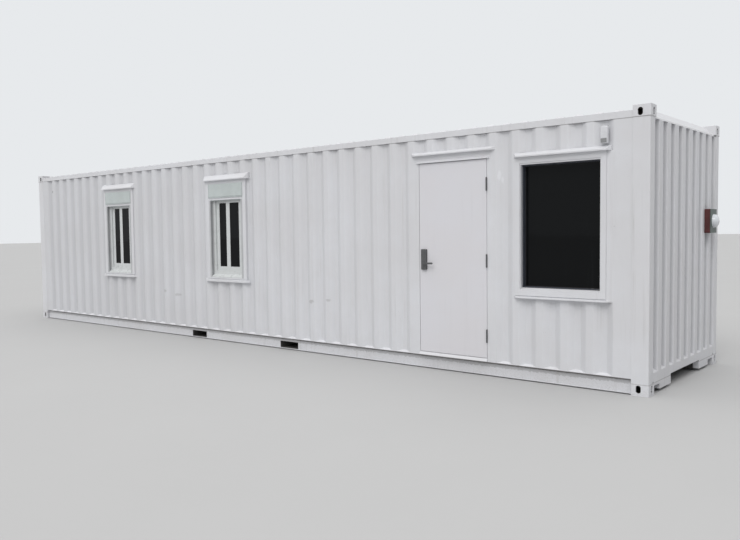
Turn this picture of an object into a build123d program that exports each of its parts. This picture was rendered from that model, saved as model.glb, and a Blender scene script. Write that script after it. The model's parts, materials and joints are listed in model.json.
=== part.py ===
"""Forty foot high cube container turned into a cabin: door, two shuttered windows, picture window."""
from build123d import *
import math
import os

os.makedirs("parts", exist_ok=True)

# Millimetres. X runs along the container towards the blind end, Y across it, Z up from the ground.
# The front long side, with the door and the windows, faces -Y.

# Overall size and corner castings
LENGTH = 12192
WIDTH = 2438
HEIGHT = 2896
CASTING_LENGTH = 178
CASTING_WIDTH = 162
CASTING_HEIGHT = 118
CASTING_SLOT_PLATE = 28.5
CASTING_FACE_WALL = 15.5
CASTING_BACK_WALL = 12
CASTING_ROUND = 10
SLOT_LENGTH = 124.5
SLOT_WIDTH = 63.5
SLOT_INSET_X = 103.5
SLOT_INSET_Y = 89.5
HAND_HOLE_HEIGHT = 80
SIDE_HOLE_WIDTH = 51
END_HOLE_WIDTH = 48

# Frame
POST_SETBACK = 4
POST_WIDTH = 122
POST_WALL = 6
POST_ROUND = 12
BOTTOM_RAIL_LOW = 12
BOTTOM_RAIL_TOP = 170
BOTTOM_RAIL_SETBACK = 6
BOTTOM_RAIL_TOP_FLANGE = 48
BOTTOM_RAIL_LOW_FLANGE = 32
BOTTOM_RAIL_WALL = 4.5
TOP_RAIL_SETBACK = 6
TOP_RAIL_WIDTH = 60
TOP_RAIL_DROP = 50
TOP_RAIL_HEIGHT = 66
TOP_RAIL_WALL = 4
END_HEADER_DROP = 12
END_HEADER_HEIGHT = 121
END_HEADER_SLOPE_RUN = 126
END_HEADER_WALL = 5
END_SILL_LOW = 135
END_SILL_TOP = 225
END_SILL_FALL = 28
BOLSTER_LOW = 30
BOLSTER_SIDE = 354
BOLSTER_DEPTH = 70
BRIDGE_LOW = 88
APRON_DROP = 38
APRON_WALL = 8
CARGO_SILL_TOP = 168
CARGO_SILL_DEPTH = 90

# Understructure
CROSS_MEMBER_LOW = 30
CROSS_MEMBER_TOP = 152
CROSS_MEMBER_FLANGE = 45
CROSS_MEMBER_WALL = 4
CROSS_MEMBER_PITCH = 300
FLOOR_THICKNESS = 28
POCKET_SPACING = 2050
POCKET_WIDTH = 360
POCKET_LOW = 18
POCKET_TOP = 113
POCKET_WALL = 6
POCKET_STRAP_LENGTH = 160
TUNNEL_LENGTH = 3150
TUNNEL_WIDTH = 1030
TUNNEL_TOP = 120
TUNNEL_WALL = 5
TUNNEL_LOW = 16
TUNNEL_RIB_WIDTH = 40
TUNNEL_RIB_COUNT = 10

# Corrugated skins
SHEET = 2
SKIN_SETBACK = 8
SIDE_WAVE_INNER = 70
SIDE_WAVE_SLOPE = 68
SIDE_WAVE_DEPTH = 36
SIDE_WAVE_COUNT = 41
FIRST_WAVE_GAP = 291
LAST_WAVE_GAP = 261
END_WAVE_MARGIN = 219
END_WAVE_INNER = 104
END_WAVE_SLOPE = 18
END_WAVE_DEPTH = 46
END_WAVE_COUNT = 9
ROOF_END_MARGIN = 244
ROOF_WAVE_BASE = 118
ROOF_WAVE_HEIGHT = 28
ROOF_WAVE_COUNT = 56
ROOF_WAVE_MARGIN = 58

# Insulated lining
LINING = 100
ROOM_DROP = 206
CEILING_THICKNESS = 68

# Doorway and door
DOOR_FROM_END = 2747
DOOR_WIDTH = 936
DOOR_LOW = 205
DOOR_HEAD_DROP = 401
DOOR_GAP = 5
DOOR_PLATE_LEFT = 87
DOOR_PLATE_RIGHT = 107
LEAF_THICKNESS = 45
JAMB_WIDTH = 40
STOP_WIDTH = 16
STOP_DEPTH = 18
THRESHOLD_EDGE = 6
THRESHOLD_PROUD = 24
HOOD_RISE = 130
HOOD_HEIGHT = 40
HOOD_PROUD = 46
HOOD_LIP = 14
HOOD_SIDE = 106
HOOD_TAPER = 50
HOOD_SHELF = 4
LOWER_LIP_HEIGHT = 26
LOWER_LIP_EDGE = 8
LOWER_LIP_PROUD = 22
LOWER_LIP_SIDE = 40

# Hinges
HINGE_HEIGHT = 150
HINGE_KNUCKLE_RADIUS = 9
HINGE_PIN_RADIUS = 4
HINGE_PIN_CLEARANCE = 0.08
HINGE_PLATE = 2
HINGE_PLATE_DEPTH = 36
HINGE_KNUCKLE_GAP = 0.6
LOWER_HINGE_LEVEL = 465
MIDDLE_HINGE_LEVEL = 1330
UPPER_HINGE_DROP = 290

# Lock and lever
LOCK_BACKSET = 72
LOCK_LEVEL = 1335
LOCK_WIDTH = 75
LOCK_HEIGHT = 250
LOCK_DEPTH = 28
LOCK_ROUND = 9
INNER_LOCK_WIDTH = 66
INNER_LOCK_HEIGHT = 200
INNER_LOCK_DEPTH = 14
LEVER_LEVEL = 1290
LEVER_LENGTH = 160
LEVER_HEIGHT = 22
LEVER_THICKNESS = 11
LEVER_STANDOFF = 26
LEVER_HUB_RADIUS = 19
LEVER_HUB_DEPTH = 10
SPINDLE_RADIUS = 8
SPINDLE_COLLAR = 3
SPINDLE_BORE = 11
LEVER_CLEARANCE = 0.5

# Shuttered windows
FIRST_WINDOW_FROM_END = 2902
SECOND_WINDOW_FROM_END = 5844
WINDOW_WIDTH = 710
WINDOW_LOW = 1000
WINDOW_HEAD_DROP = 696
WINDOW_TOP_RISE = 73
SURROUND_WIDTH = 105
SURROUND_PROUD = 15
SURROUND_RISE = 300
WINDOW_FRAME_DEPTH = 50
WINDOW_FRAME_WIDTH = 52
WINDOW_FRAME_CLEARANCE = 0.3
SASH_CLEARANCE = 0.3
SASH_SETBACK = 8
SASH_WIDTH = 66
SASH_DEPTH = 16
MEETING_STILE = 82
MEETING_SHIFT = 16
PANE = 5
SASH_OVERLAP = 30
REVEAL_LEDGE = 50
LEDGE_EDGE = 12
SHUTTER_BOX_WIDTH = 790
SHUTTER_BOX_RISE = 35
SHUTTER_BOX_HEIGHT = 217
SHUTTER_BOX_PROUD = 12
GUIDE_WIDTH = 32
GUIDE_PROUD = 4
GUIDE_SLOT = 14
GUIDE_SLOT_DEPTH = 22
GUIDE_LIP = 18
DRIP_RISE = 82
DRIP_PROUD = 58
DRIP_LIP = 15
DRIP_TAPER = 44
DRIP_RECESS_SLOPE = 0.4
DRIP_SIDE = 50
SILL_DROP = 26
SILL_HEIGHT = 38
SILL_PROUD = 46
SILL_SIDE = 46
SILL_TAPER = 40
SILL_FALL = 8
SILL_GROOVE = 8
SILL_GROOVE_DEPTH = 10

# Picture window
PICTURE_FROM_END = 1391
PICTURE_WIDTH = 892
PICTURE_LOW = 1040
PICTURE_HEAD_DROP = 506
PICTURE_SURROUND = 64
PICTURE_HEAD = 82
PICTURE_APRON = 113
PICTURE_STEP = 9
PICTURE_HEAD_STEP = 18
PICTURE_LEDGE_FALL = 24
PICTURE_FLANGE = 76
PICTURE_FRAME_WALL = 12
PICTURE_FRAME_DEPTH = 80
PICTURE_PANE_SETBACK = 92
PICTURE_DRIP_RISE = 48
PICTURE_SILL_HEIGHT = 20
PICTURE_TRIM_LEFT = 17
PICTURE_TRIM_RIGHT = 50

# Wall light and utility box
LIGHT_FROM_END = 454
LIGHT_DROP = 352
LIGHT_HEIGHT = 174
LIGHT_WIDTH = 76
LIGHT_PROUD = 36
LIGHT_BLOCK_WIDTH = 44
LIGHT_BLOCK_HEIGHT = 130
LENS_WIDTH = 60
LENS_HEIGHT = 44
LENS_PROUD = 5
LIGHT_ARC = 12
LIGHT_CHAMFER = 6
UTILITY_FROM_SIDE = 444
UTILITY_LEVEL = 1750
UTILITY_WIDTH = 250
UTILITY_HEIGHT = 280
UTILITY_DEPTH = 62
UTILITY_COVER = 7
DOME_RADIUS = 80
DOME_COLLAR = 14
DOME_RISE = 46
DOME_STEPS = 4

# Cargo doors at the far end
CARGO_LEAF_SETBACK = 44
CARGO_LEAF_THICKNESS = 50
CARGO_LEAF_GAP = 4
CARGO_FRAME_WIDTH = 100
CARGO_PANEL = 3
CARGO_WAVE_COUNT = 5
CARGO_WAVE_DEPTH = 30
CARGO_WAVE_OPENING = 290
CARGO_WAVE_SLOPE = 30
LOCK_BAR_RADIUS = 16
LOCK_BAR_INSET = 300
LOCK_BAR_FROM_SIDE = 399
LOWER_BRACKET = 420
SECOND_BRACKET = 1000
THIRD_BRACKET_DROP = 1196
UPPER_BRACKET_DROP = 446
LOCK_BAR_END = 62
LOCK_BAR_STANDOFF = 6
CAM_WIDTH = 62
CAM_HEIGHT = 40
STRAP_WALL = 5
STRAP_CLEARANCE = 0.3
HANDLE_LENGTH = 440
INNER_HANDLE_LEVEL = 1180
OUTER_HANDLE_LEVEL = 1330
HANDLE_HEIGHT = 38
HANDLE_THICKNESS = 9
LOWER_CARGO_HINGE = 380
SECOND_CARGO_HINGE = 1080
THIRD_CARGO_HINGE_DROP = 1066
UPPER_CARGO_HINGE_DROP = 336
CARGO_HINGE_HEIGHT = 100
CARGO_HINGE_REACH = 150
CARGO_HINGE_RADIUS = 12

# Places worked out from the sizes above
END_X = LENGTH / 2
SIDE_Y = WIDTH / 2
FRAME_X = END_X - CASTING_LENGTH
CASTING_Y = SIDE_Y - CASTING_WIDTH
POST_Y = SIDE_Y - POST_SETBACK - POST_WIDTH
SKIN_Y = SIDE_Y - SKIN_SETBACK
SKIN_X = END_X - SKIN_SETBACK
LINING_Y = SKIN_Y - SIDE_WAVE_DEPTH - SHEET
ROOM_Y = LINING_Y - LINING
END_LINING_X = SKIN_X - END_WAVE_DEPTH - SHEET
RAIL_Y = SIDE_Y - BOTTOM_RAIL_SETBACK
DECK_Y = RAIL_Y - BOTTOM_RAIL_TOP_FLANGE
TOP_RAIL_Y = SIDE_Y - TOP_RAIL_SETBACK
FLOOR_TOP = CROSS_MEMBER_TOP + FLOOR_THICKNESS
TOP_RAIL_TOP = HEIGHT - TOP_RAIL_DROP
TOP_RAIL_LOW = TOP_RAIL_TOP - TOP_RAIL_HEIGHT
END_HEADER_TOP = HEIGHT - END_HEADER_DROP
END_HEADER_LOW = END_HEADER_TOP - END_HEADER_HEIGHT
BOLSTER_OUTER = SIDE_Y - BOLSTER_SIDE
ROOM_TOP = HEIGHT - ROOM_DROP
SIDE_WAVE_PITCH = (2 * FRAME_X - FIRST_WAVE_GAP - LAST_WAVE_GAP) / (SIDE_WAVE_COUNT - 1)
END_WAVE_PITCH = (WIDTH - 2 * END_WAVE_MARGIN) / (END_WAVE_COUNT - 1)
ROOF_WAVE_PITCH = (LENGTH - 2 * ROOF_END_MARGIN) / ROOF_WAVE_COUNT
DOOR_LEFT = END_X - DOOR_FROM_END
DOOR_RIGHT = DOOR_LEFT + DOOR_WIDTH
DOOR_TOP = HEIGHT - DOOR_HEAD_DROP
HOOD_TOP = DOOR_TOP + HOOD_RISE
HINGE_LEVELS = (LOWER_HINGE_LEVEL, MIDDLE_HINGE_LEVEL, DOOR_TOP - UPPER_HINGE_DROP)
WINDOW_CENTRES = (FIRST_WINDOW_FROM_END - END_X, SECOND_WINDOW_FROM_END - END_X)
WINDOW_HEAD = HEIGHT - WINDOW_HEAD_DROP
WINDOW_TOP = WINDOW_HEAD + WINDOW_TOP_RISE
SURROUND_TOP = WINDOW_HEAD + SURROUND_RISE
SHUTTER_BOX_LOW = WINDOW_HEAD + SHUTTER_BOX_RISE
SHUTTER_BOX_TOP = SHUTTER_BOX_LOW + SHUTTER_BOX_HEIGHT
DRIP_TOP = SURROUND_TOP + DRIP_RISE
PICTURE_LEFT = END_X - PICTURE_FROM_END
PICTURE_TOP = HEIGHT - PICTURE_HEAD_DROP
LIGHT_X = END_X - LIGHT_FROM_END
LIGHT_LOW = HEIGHT - LIGHT_DROP
UTILITY_Y = SIDE_Y - UTILITY_FROM_SIDE
LOCK_BAR_OUTER = SIDE_Y - LOCK_BAR_FROM_SIDE
LOCK_BAR_BRACKETS = (
    LOWER_BRACKET, SECOND_BRACKET, HEIGHT - THIRD_BRACKET_DROP, HEIGHT - UPPER_BRACKET_DROP,
)
CARGO_HINGE_LEVELS = (
    LOWER_CARGO_HINGE, SECOND_CARGO_HINGE, HEIGHT - THIRD_CARGO_HINGE_DROP, HEIGHT - UPPER_CARGO_HINGE_DROP,
)
PLATE_LEFT = DOOR_LEFT - DOOR_PLATE_LEFT
PLATE_RIGHT = DOOR_RIGHT + DOOR_PLATE_RIGHT
CARGO_LEAF_X = -END_X + CARGO_LEAF_SETBACK
CARGO_INNER_X = CARGO_LEAF_X + CARGO_LEAF_THICKNESS
CARGO_SILL_BACK = CARGO_LEAF_X + CARGO_SILL_DEPTH
TUNNEL_START = SKIN_X - TUNNEL_LENGTH
SILL_TOP = WINDOW_LOW - SILL_DROP
PICTURE_RIGHT = PICTURE_LEFT + PICTURE_WIDTH


def wave_line(centres, start, stop, inner, slope, depth):
    """Points of a corrugated line from start to stop: depth is 0 outside and depth in each recess."""
    points = [(start, 0)]
    for centre in centres:
        low = centre - inner / 2 - slope
        high = centre + inner / 2 + slope
        if low > start and high < stop:
            points += [(low, 0), (centre - inner / 2, depth), (centre + inner / 2, depth), (high, 0)]
    return points + [(stop, 0)]


def sheet_outline(points):
    """Close a corrugated line into the section of a sheet, thickened away from the outside."""
    return points + [(along, depth + SHEET) for along, depth in reversed(points)]


def side_wave(start, stop):
    """The corrugated line of a long side between two places along it."""
    return wave_line(side_centres, start, stop, SIDE_WAVE_INNER, SIDE_WAVE_SLOPE, SIDE_WAVE_DEPTH)


def behind_front_wall(start, stop, low, top):
    """All that lies behind the front wall's outer face between two levels, used to trim what meets the wall."""
    points = [*side_wave(-FRAME_X, PLATE_LEFT), *side_wave(PLATE_RIGHT, FRAME_X)]
    inside = [(x, depth) for x, depth in points if start < x < stop]
    points = [(start, depth_at(points, start)), *inside, (stop, depth_at(points, stop))]
    back = -LINING_Y + LINING
    with BuildPart() as region:
        with BuildSketch(Plane.XY.offset(low)):
            with BuildLine():
                Polyline(
                    *[(x, depth - SKIN_Y) for x, depth in points], (stop, back), (start, back), close=True,
                )
            make_face()
        extrude(amount=top - low)
    return region.part


def depth_at(points, along):
    """Depth of a corrugated line at one place, straight between its points."""
    for (x0, d0), (x1, d1) in zip(points, points[1:]):
        if x0 <= along <= x1:
            return d0 + (d1 - d0) * (along - x0) / (x1 - x0)
    return 0


def box_between(x0, x1, y0, y1, z0, z1):
    """A block between two corners, added to the part being built."""
    with Locations(((x0 + x1) / 2, (y0 + y1) / 2, (z0 + z1) / 2)):
        Box(abs(x1 - x0), abs(y1 - y0), abs(z1 - z0))


def cut_between(x0, x1, y0, y1, z0, z1):
    """The same block, cut away."""
    with Locations(((x0 + x1) / 2, (y0 + y1) / 2, (z0 + z1) / 2)):
        Box(abs(x1 - x0), abs(y1 - y0), abs(z1 - z0), mode=Mode.SUBTRACT)


def finish(part, label):
    """Name a finished piece and write its file."""
    part.label = label
    export_step(part, f"parts/{label}.step")


side_centres = [FRAME_X - FIRST_WAVE_GAP - k * SIDE_WAVE_PITCH for k in range(SIDE_WAVE_COUNT)][::-1]
end_centres = [(k - (END_WAVE_COUNT - 1) / 2) * END_WAVE_PITCH for k in range(END_WAVE_COUNT)]


# Corner casting: hollow, a long slot in its outer plate, an upright oval hole in each outer face.
# It is drawn for the corner towards +X and +Y at the bottom, and mirrored to the other seven.
slot_x = END_X - SLOT_INSET_X
slot_y = SIDE_Y - SLOT_INSET_Y
hole_z = CASTING_SLOT_PLATE + HAND_HOLE_HEIGHT / 2
with BuildPart() as casting:
    box_between(FRAME_X, END_X, CASTING_Y, SIDE_Y, 0, CASTING_HEIGHT)
    outer_edges = casting.edges().filter_by(Axis.Z).sort_by(Axis.X)[-2:].sort_by(Axis.Y)[-1:]
    fillet(outer_edges, CASTING_ROUND)
    cut_between(
        FRAME_X + CASTING_BACK_WALL, END_X - CASTING_FACE_WALL,
        CASTING_Y + CASTING_BACK_WALL, SIDE_Y - CASTING_FACE_WALL,
        CASTING_SLOT_PLATE, CASTING_HEIGHT - CASTING_BACK_WALL,
    )
    with BuildSketch(Plane.XY):
        with Locations((slot_x, slot_y)):
            SlotOverall(SLOT_LENGTH, SLOT_WIDTH)
    extrude(amount=CASTING_SLOT_PLATE + 1, mode=Mode.SUBTRACT)
    with BuildSketch(Plane.XZ.offset(-SIDE_Y)):
        with Locations((slot_x, hole_z)):
            SlotOverall(HAND_HOLE_HEIGHT, SIDE_HOLE_WIDTH, rotation=90)
    extrude(amount=CASTING_FACE_WALL + 1, mode=Mode.SUBTRACT)
    with BuildSketch(Plane.YZ.offset(END_X)):
        with Locations((slot_y, hole_z)):
            SlotOverall(HAND_HOLE_HEIGHT, END_HOLE_WIDTH, rotation=90)
    extrude(amount=-CASTING_FACE_WALL - 1, mode=Mode.SUBTRACT)

with BuildPart() as bottom_castings:
    add(casting.part)
    mirror(about=Plane.YZ)
    mirror(about=Plane.XZ)
finish(bottom_castings.part, "bottom_corner_castings")

with BuildPart() as top_castings:
    add(mirror(bottom_castings.part, about=Plane.XY.offset(HEIGHT / 2)))
finish(top_castings.part, "top_corner_castings")


# Corner posts: rolled hollow posts between the castings
with BuildPart() as posts:
    with BuildSketch(Plane.XY.offset(CASTING_HEIGHT)):
        with Locations(((FRAME_X + END_X - POST_SETBACK) / 2, POST_Y + POST_WIDTH / 2)):
            Rectangle(CASTING_LENGTH - POST_SETBACK, POST_WIDTH)
        outer = vertices().sort_by(Axis.X)[-2:].sort_by(Axis.Y)[-1:]
        fillet(outer, POST_ROUND)
        offset(amount=-POST_WALL, kind=Kind.INTERSECTION, mode=Mode.SUBTRACT)
    extrude(amount=HEIGHT - 2 * CASTING_HEIGHT)
    mirror(about=Plane.YZ)
    mirror(about=Plane.XZ)
finish(posts.part, "corner_posts")


def bottom_rail(side):
    """Channel open to the outside, with the fork pockets cut through its web."""
    face = side * RAIL_Y
    web = side * DECK_Y
    low_edge = side * (DECK_Y + BOTTOM_RAIL_LOW_FLANGE)
    with BuildPart() as rail:
        box_between(-FRAME_X, FRAME_X, web, face, BOTTOM_RAIL_TOP - BOTTOM_RAIL_WALL, BOTTOM_RAIL_TOP)
        box_between(-FRAME_X, FRAME_X, web, web + side * BOTTOM_RAIL_WALL, BOTTOM_RAIL_LOW, BOTTOM_RAIL_TOP)
        box_between(-FRAME_X, FRAME_X, web, low_edge, BOTTOM_RAIL_LOW, BOTTOM_RAIL_LOW + BOTTOM_RAIL_WALL)
        for centre in (-POCKET_SPACING / 2, POCKET_SPACING / 2):
            cut_between(
                centre - POCKET_WIDTH / 2, centre + POCKET_WIDTH / 2,
                web - side, web + side * (BOTTOM_RAIL_WALL + 1), POCKET_LOW, POCKET_TOP,
            )
    return rail.part


finish(bottom_rail(-1), "front_bottom_rail")
finish(bottom_rail(1), "back_bottom_rail")


# Top side rails: square tubes between the castings
with BuildPart() as top_rails:
    with BuildSketch(Plane.YZ.offset(-FRAME_X)):
        with Locations((TOP_RAIL_Y - TOP_RAIL_WIDTH / 2, (TOP_RAIL_LOW + TOP_RAIL_TOP) / 2)):
            Rectangle(TOP_RAIL_WIDTH, TOP_RAIL_TOP - TOP_RAIL_LOW)
        offset(amount=-TOP_RAIL_WALL, kind=Kind.INTERSECTION, mode=Mode.SUBTRACT)
    extrude(amount=2 * FRAME_X)
    mirror(about=Plane.XZ)
finish(top_rails.part, "top_side_rails")


# Header of the blind end: a pressed section whose face slopes back to the roof
with BuildPart() as near_header:
    with BuildSketch(Plane.XZ.offset(-CASTING_Y)):
        with BuildLine():
            Polyline(
                (SKIN_X, END_HEADER_LOW),
                (SKIN_X - END_HEADER_SLOPE_RUN, END_HEADER_TOP),
                (FRAME_X, END_HEADER_TOP),
                (FRAME_X, END_HEADER_LOW),
                close=True,
            )
        make_face()
        offset(amount=-END_HEADER_WALL, kind=Kind.INTERSECTION, mode=Mode.SUBTRACT)
    extrude(amount=2 * CASTING_Y)
finish(near_header.part, "near_end_header")


# Sill of the blind end: a beam whose top falls outwards in the recesses of the wall on it, two bolsters
# beside the tunnel, a bridge from each bolster to the casting, and an apron over the tunnel's mouth
end_wave = wave_line(end_centres, -POST_Y, POST_Y, END_WAVE_INNER, END_WAVE_SLOPE, END_WAVE_DEPTH)
with BuildPart() as recess_floors:
    with BuildSketch(Plane.XZ.offset(-POST_Y)):
        with BuildLine():
            Polyline(
                (SKIN_X, END_SILL_TOP), (SKIN_X - END_WAVE_DEPTH, END_SILL_TOP + END_SILL_FALL),
                (SKIN_X - END_WAVE_DEPTH, END_SILL_TOP), close=True,
            )
        make_face()
    extrude(amount=2 * POST_Y)
    with BuildSketch(Plane.XY.offset(END_SILL_TOP)):
        with BuildLine():
            Polyline(
                *[(SKIN_X - depth, y) for y, depth in end_wave], (SKIN_X - 2 * END_WAVE_DEPTH, POST_Y),
                (SKIN_X - 2 * END_WAVE_DEPTH, -POST_Y), close=True,
            )
        make_face()
    extrude(amount=END_SILL_FALL, mode=Mode.SUBTRACT)

bolster_back = SKIN_X - BOLSTER_DEPTH
with BuildPart() as near_sill:
    box_between(END_LINING_X, SKIN_X, -POST_Y, POST_Y, END_SILL_LOW, END_SILL_TOP)
    for side in (-1, 1):
        box_between(
            bolster_back, SKIN_X, side * TUNNEL_WIDTH / 2, side * BOLSTER_OUTER, BOLSTER_LOW, END_SILL_LOW,
        )
        box_between(bolster_back, SKIN_X, side * BOLSTER_OUTER, side * CASTING_Y, BRIDGE_LOW, END_SILL_LOW)
    box_between(
        bolster_back, bolster_back + APRON_WALL, -TUNNEL_WIDTH / 2, TUNNEL_WIDTH / 2,
        END_SILL_LOW - APRON_DROP, END_SILL_LOW,
    )
    add(recess_floors.part)
finish(near_sill.part, "near_end_sill")


# Header of the cargo door end, the sill beam between the castings and the threshold that the doors close on
with BuildPart() as far_header:
    with BuildSketch(Plane.XZ.offset(-CASTING_Y)):
        with Locations(((CARGO_LEAF_X - FRAME_X) / 2, (END_HEADER_LOW + END_HEADER_TOP) / 2)):
            Rectangle(-FRAME_X - CARGO_LEAF_X, END_HEADER_TOP - END_HEADER_LOW)
        offset(amount=-END_HEADER_WALL, kind=Kind.INTERSECTION, mode=Mode.SUBTRACT)
    extrude(amount=2 * CASTING_Y)
finish(far_header.part, "far_end_header")

with BuildPart() as far_sill:
    box_between(CARGO_LEAF_X, CARGO_SILL_BACK, -CASTING_Y, CASTING_Y, BOTTOM_RAIL_LOW, CASTING_HEIGHT)
finish(far_sill.part, "far_end_sill")

with BuildPart() as cargo_threshold:
    box_between(CARGO_LEAF_X, CARGO_SILL_BACK, -POST_Y, POST_Y, CASTING_HEIGHT, CARGO_SILL_TOP)
finish(cargo_threshold.part, "cargo_door_threshold")


# Fork pockets: channels across the floor frame, closed below by a strap at each end
with BuildPart() as pockets:
    for centre in (-POCKET_SPACING / 2, POCKET_SPACING / 2):
        half = POCKET_WIDTH / 2
        box_between(
            centre - half - POCKET_WALL, centre + half + POCKET_WALL, -DECK_Y, DECK_Y,
            POCKET_TOP, POCKET_TOP + POCKET_WALL,
        )
        for side in (-1, 1):
            box_between(
                centre + side * half, centre + side * (half + POCKET_WALL), -DECK_Y, DECK_Y,
                POCKET_LOW, POCKET_TOP,
            )
            box_between(
                centre - half - POCKET_WALL, centre + half + POCKET_WALL,
                side * (DECK_Y - POCKET_STRAP_LENGTH), side * DECK_Y,
                POCKET_LOW - POCKET_WALL, POCKET_LOW,
            )
finish(pockets.part, "fork_pockets")


# Tunnel of the blind end: a wide inverted channel with ribs up to the floor
with BuildPart() as tunnel:
    tunnel_end = bolster_back
    half = TUNNEL_WIDTH / 2
    box_between(
        TUNNEL_START, tunnel_end, -half - TUNNEL_WALL, half + TUNNEL_WALL,
        TUNNEL_TOP, TUNNEL_TOP + TUNNEL_WALL,
    )
    for side in (-1, 1):
        box_between(
            TUNNEL_START, tunnel_end, side * half, side * (half + TUNNEL_WALL), TUNNEL_LOW, TUNNEL_TOP,
        )
    for k in range(TUNNEL_RIB_COUNT):
        rib_x = TUNNEL_START + (k + 0.5) * (tunnel_end - TUNNEL_START) / TUNNEL_RIB_COUNT
        box_between(
            rib_x - TUNNEL_RIB_WIDTH / 2, rib_x + TUNNEL_RIB_WIDTH / 2, -half, half,
            TUNNEL_TOP + TUNNEL_WALL, CROSS_MEMBER_TOP,
        )
finish(tunnel.part, "gooseneck_tunnel")


def cross_member(centre, y0, y1):
    """One channel across the floor frame, its web towards +X."""
    front = centre - CROSS_MEMBER_FLANGE / 2
    back = centre + CROSS_MEMBER_FLANGE / 2
    low = CROSS_MEMBER_LOW
    top = CROSS_MEMBER_TOP
    wall = CROSS_MEMBER_WALL
    with BuildPart() as member:
        with BuildSketch(Plane.XZ.offset(-y0)):
            with BuildLine():
                Polyline(
                    (front, low), (back, low), (back, top), (front, top), (front, top - wall),
                    (back - wall, top - wall), (back - wall, low + wall), (front, low + wall),
                    close=True,
                )
            make_face()
        extrude(amount=-(y1 - y0))
    return member.part


# Cross members: full width up to the tunnel, short ones beside it, none across the fork pockets
half_pocket = POCKET_WIDTH / 2 + POCKET_WALL + CROSS_MEMBER_FLANGE / 2
tunnel_side = TUNNEL_WIDTH / 2 + TUNNEL_WALL
first = -FRAME_X + CROSS_MEMBER_PITCH / 3
count = int((FRAME_X - CROSS_MEMBER_FLANGE - first) / CROSS_MEMBER_PITCH) + 1
members = []
for k in range(count):
    centre = first + k * CROSS_MEMBER_PITCH
    if min(abs(centre - POCKET_SPACING / 2), abs(centre + POCKET_SPACING / 2)) > half_pocket:
        if centre + CROSS_MEMBER_FLANGE / 2 < TUNNEL_START:
            members.append(cross_member(centre, -DECK_Y, DECK_Y))
        elif centre - CROSS_MEMBER_FLANGE / 2 > TUNNEL_START:
            members.append(cross_member(centre, tunnel_side, DECK_Y))
            members.append(cross_member(centre, -DECK_Y, -tunnel_side))
with BuildPart() as cross_members:
    add(members)
finish(cross_members.part, "cross_members")


# Floor deck between the side rails
with BuildPart() as floor:
    box_between(-FRAME_X, FRAME_X, -DECK_Y, DECK_Y, CROSS_MEMBER_TOP, FLOOR_TOP)
    box_between(CARGO_SILL_BACK, -FRAME_X, -POST_Y, POST_Y, CROSS_MEMBER_TOP, FLOOR_TOP)
    box_between(FRAME_X, END_LINING_X, -POST_Y, POST_Y, CROSS_MEMBER_TOP, FLOOR_TOP)
finish(floor.part, "floor")


# Roof: one sheet with raised cross waves, each closed at its ends
with BuildPart() as roof:
    roof_half = TOP_RAIL_Y - TOP_RAIL_WALL
    wave_span = 2 * (TOP_RAIL_Y - ROOF_WAVE_MARGIN)
    box_between(-FRAME_X, FRAME_X, -roof_half, roof_half, TOP_RAIL_TOP, TOP_RAIL_TOP + SHEET)
    with BuildSketch(Plane.XY.offset(TOP_RAIL_TOP + SHEET)):
        with GridLocations(ROOF_WAVE_PITCH, 1, ROOF_WAVE_COUNT, 1):
            Rectangle(ROOF_WAVE_BASE, wave_span)
    extrude(amount=ROOF_WAVE_HEIGHT, taper=45)
    with BuildSketch(Plane.XY.offset(TOP_RAIL_TOP)):
        with GridLocations(ROOF_WAVE_PITCH, 1, ROOF_WAVE_COUNT, 1):
            Rectangle(ROOF_WAVE_BASE - SHEET, wave_span - SHEET)
    extrude(amount=ROOF_WAVE_HEIGHT, taper=45, mode=Mode.SUBTRACT)
finish(roof.part, "roof")


def side_skin(side, start, stop, low, top):
    """A stretch of corrugated side wall between two levels."""
    points = side_wave(start, stop)
    with BuildPart() as skin:
        with BuildSketch(Plane.XY.offset(low)):
            with BuildLine():
                Polyline(*[(x, side * (SKIN_Y - depth)) for x, depth in sheet_outline(points)], close=True)
            make_face()
        extrude(amount=top - low)
    return skin.part


# Front wall: corrugated, cut out for the windows and for the flat plate round the doorway
wall_low = BOTTOM_RAIL_TOP
wall_top = TOP_RAIL_LOW
skin_left = side_skin(-1, -FRAME_X, PLATE_LEFT, wall_low, wall_top)
with BuildPart() as front_wall_left:
    add(skin_left)
    for centre in WINDOW_CENTRES:
        cut_between(
            centre - WINDOW_WIDTH / 2 - SURROUND_WIDTH, centre + WINDOW_WIDTH / 2 + SURROUND_WIDTH,
            -SIDE_Y, -LINING_Y, SILL_TOP - SILL_HEIGHT, SURROUND_TOP,
        )
finish(front_wall_left.part, "front_wall_left")

skin_right = side_skin(-1, PLATE_RIGHT, FRAME_X, wall_low, wall_top)
with BuildPart() as front_wall_right:
    add(skin_right)
    cut_between(
        PICTURE_LEFT - PICTURE_SURROUND, PICTURE_RIGHT + PICTURE_SURROUND + PICTURE_FLANGE, -SIDE_Y, -LINING_Y,
        PICTURE_LOW - PICTURE_APRON, PICTURE_TOP + PICTURE_HEAD,
    )
finish(front_wall_right.part, "front_wall_right")

finish(side_skin(-1, PLATE_LEFT, PLATE_RIGHT, HOOD_TOP, wall_top), "front_wall_over_door")
finish(side_skin(1, -FRAME_X, FRAME_X, wall_low, wall_top), "back_wall")


# Wall of the blind end
with BuildPart() as end_wall:
    with BuildSketch(Plane.XY.offset(END_SILL_TOP)):
        with BuildLine():
            Polyline(*[(SKIN_X - depth, y) for y, depth in sheet_outline(end_wave)], close=True)
        make_face()
    extrude(amount=END_HEADER_LOW - END_SILL_TOP)
finish(end_wall.part, "near_end_wall")


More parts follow.
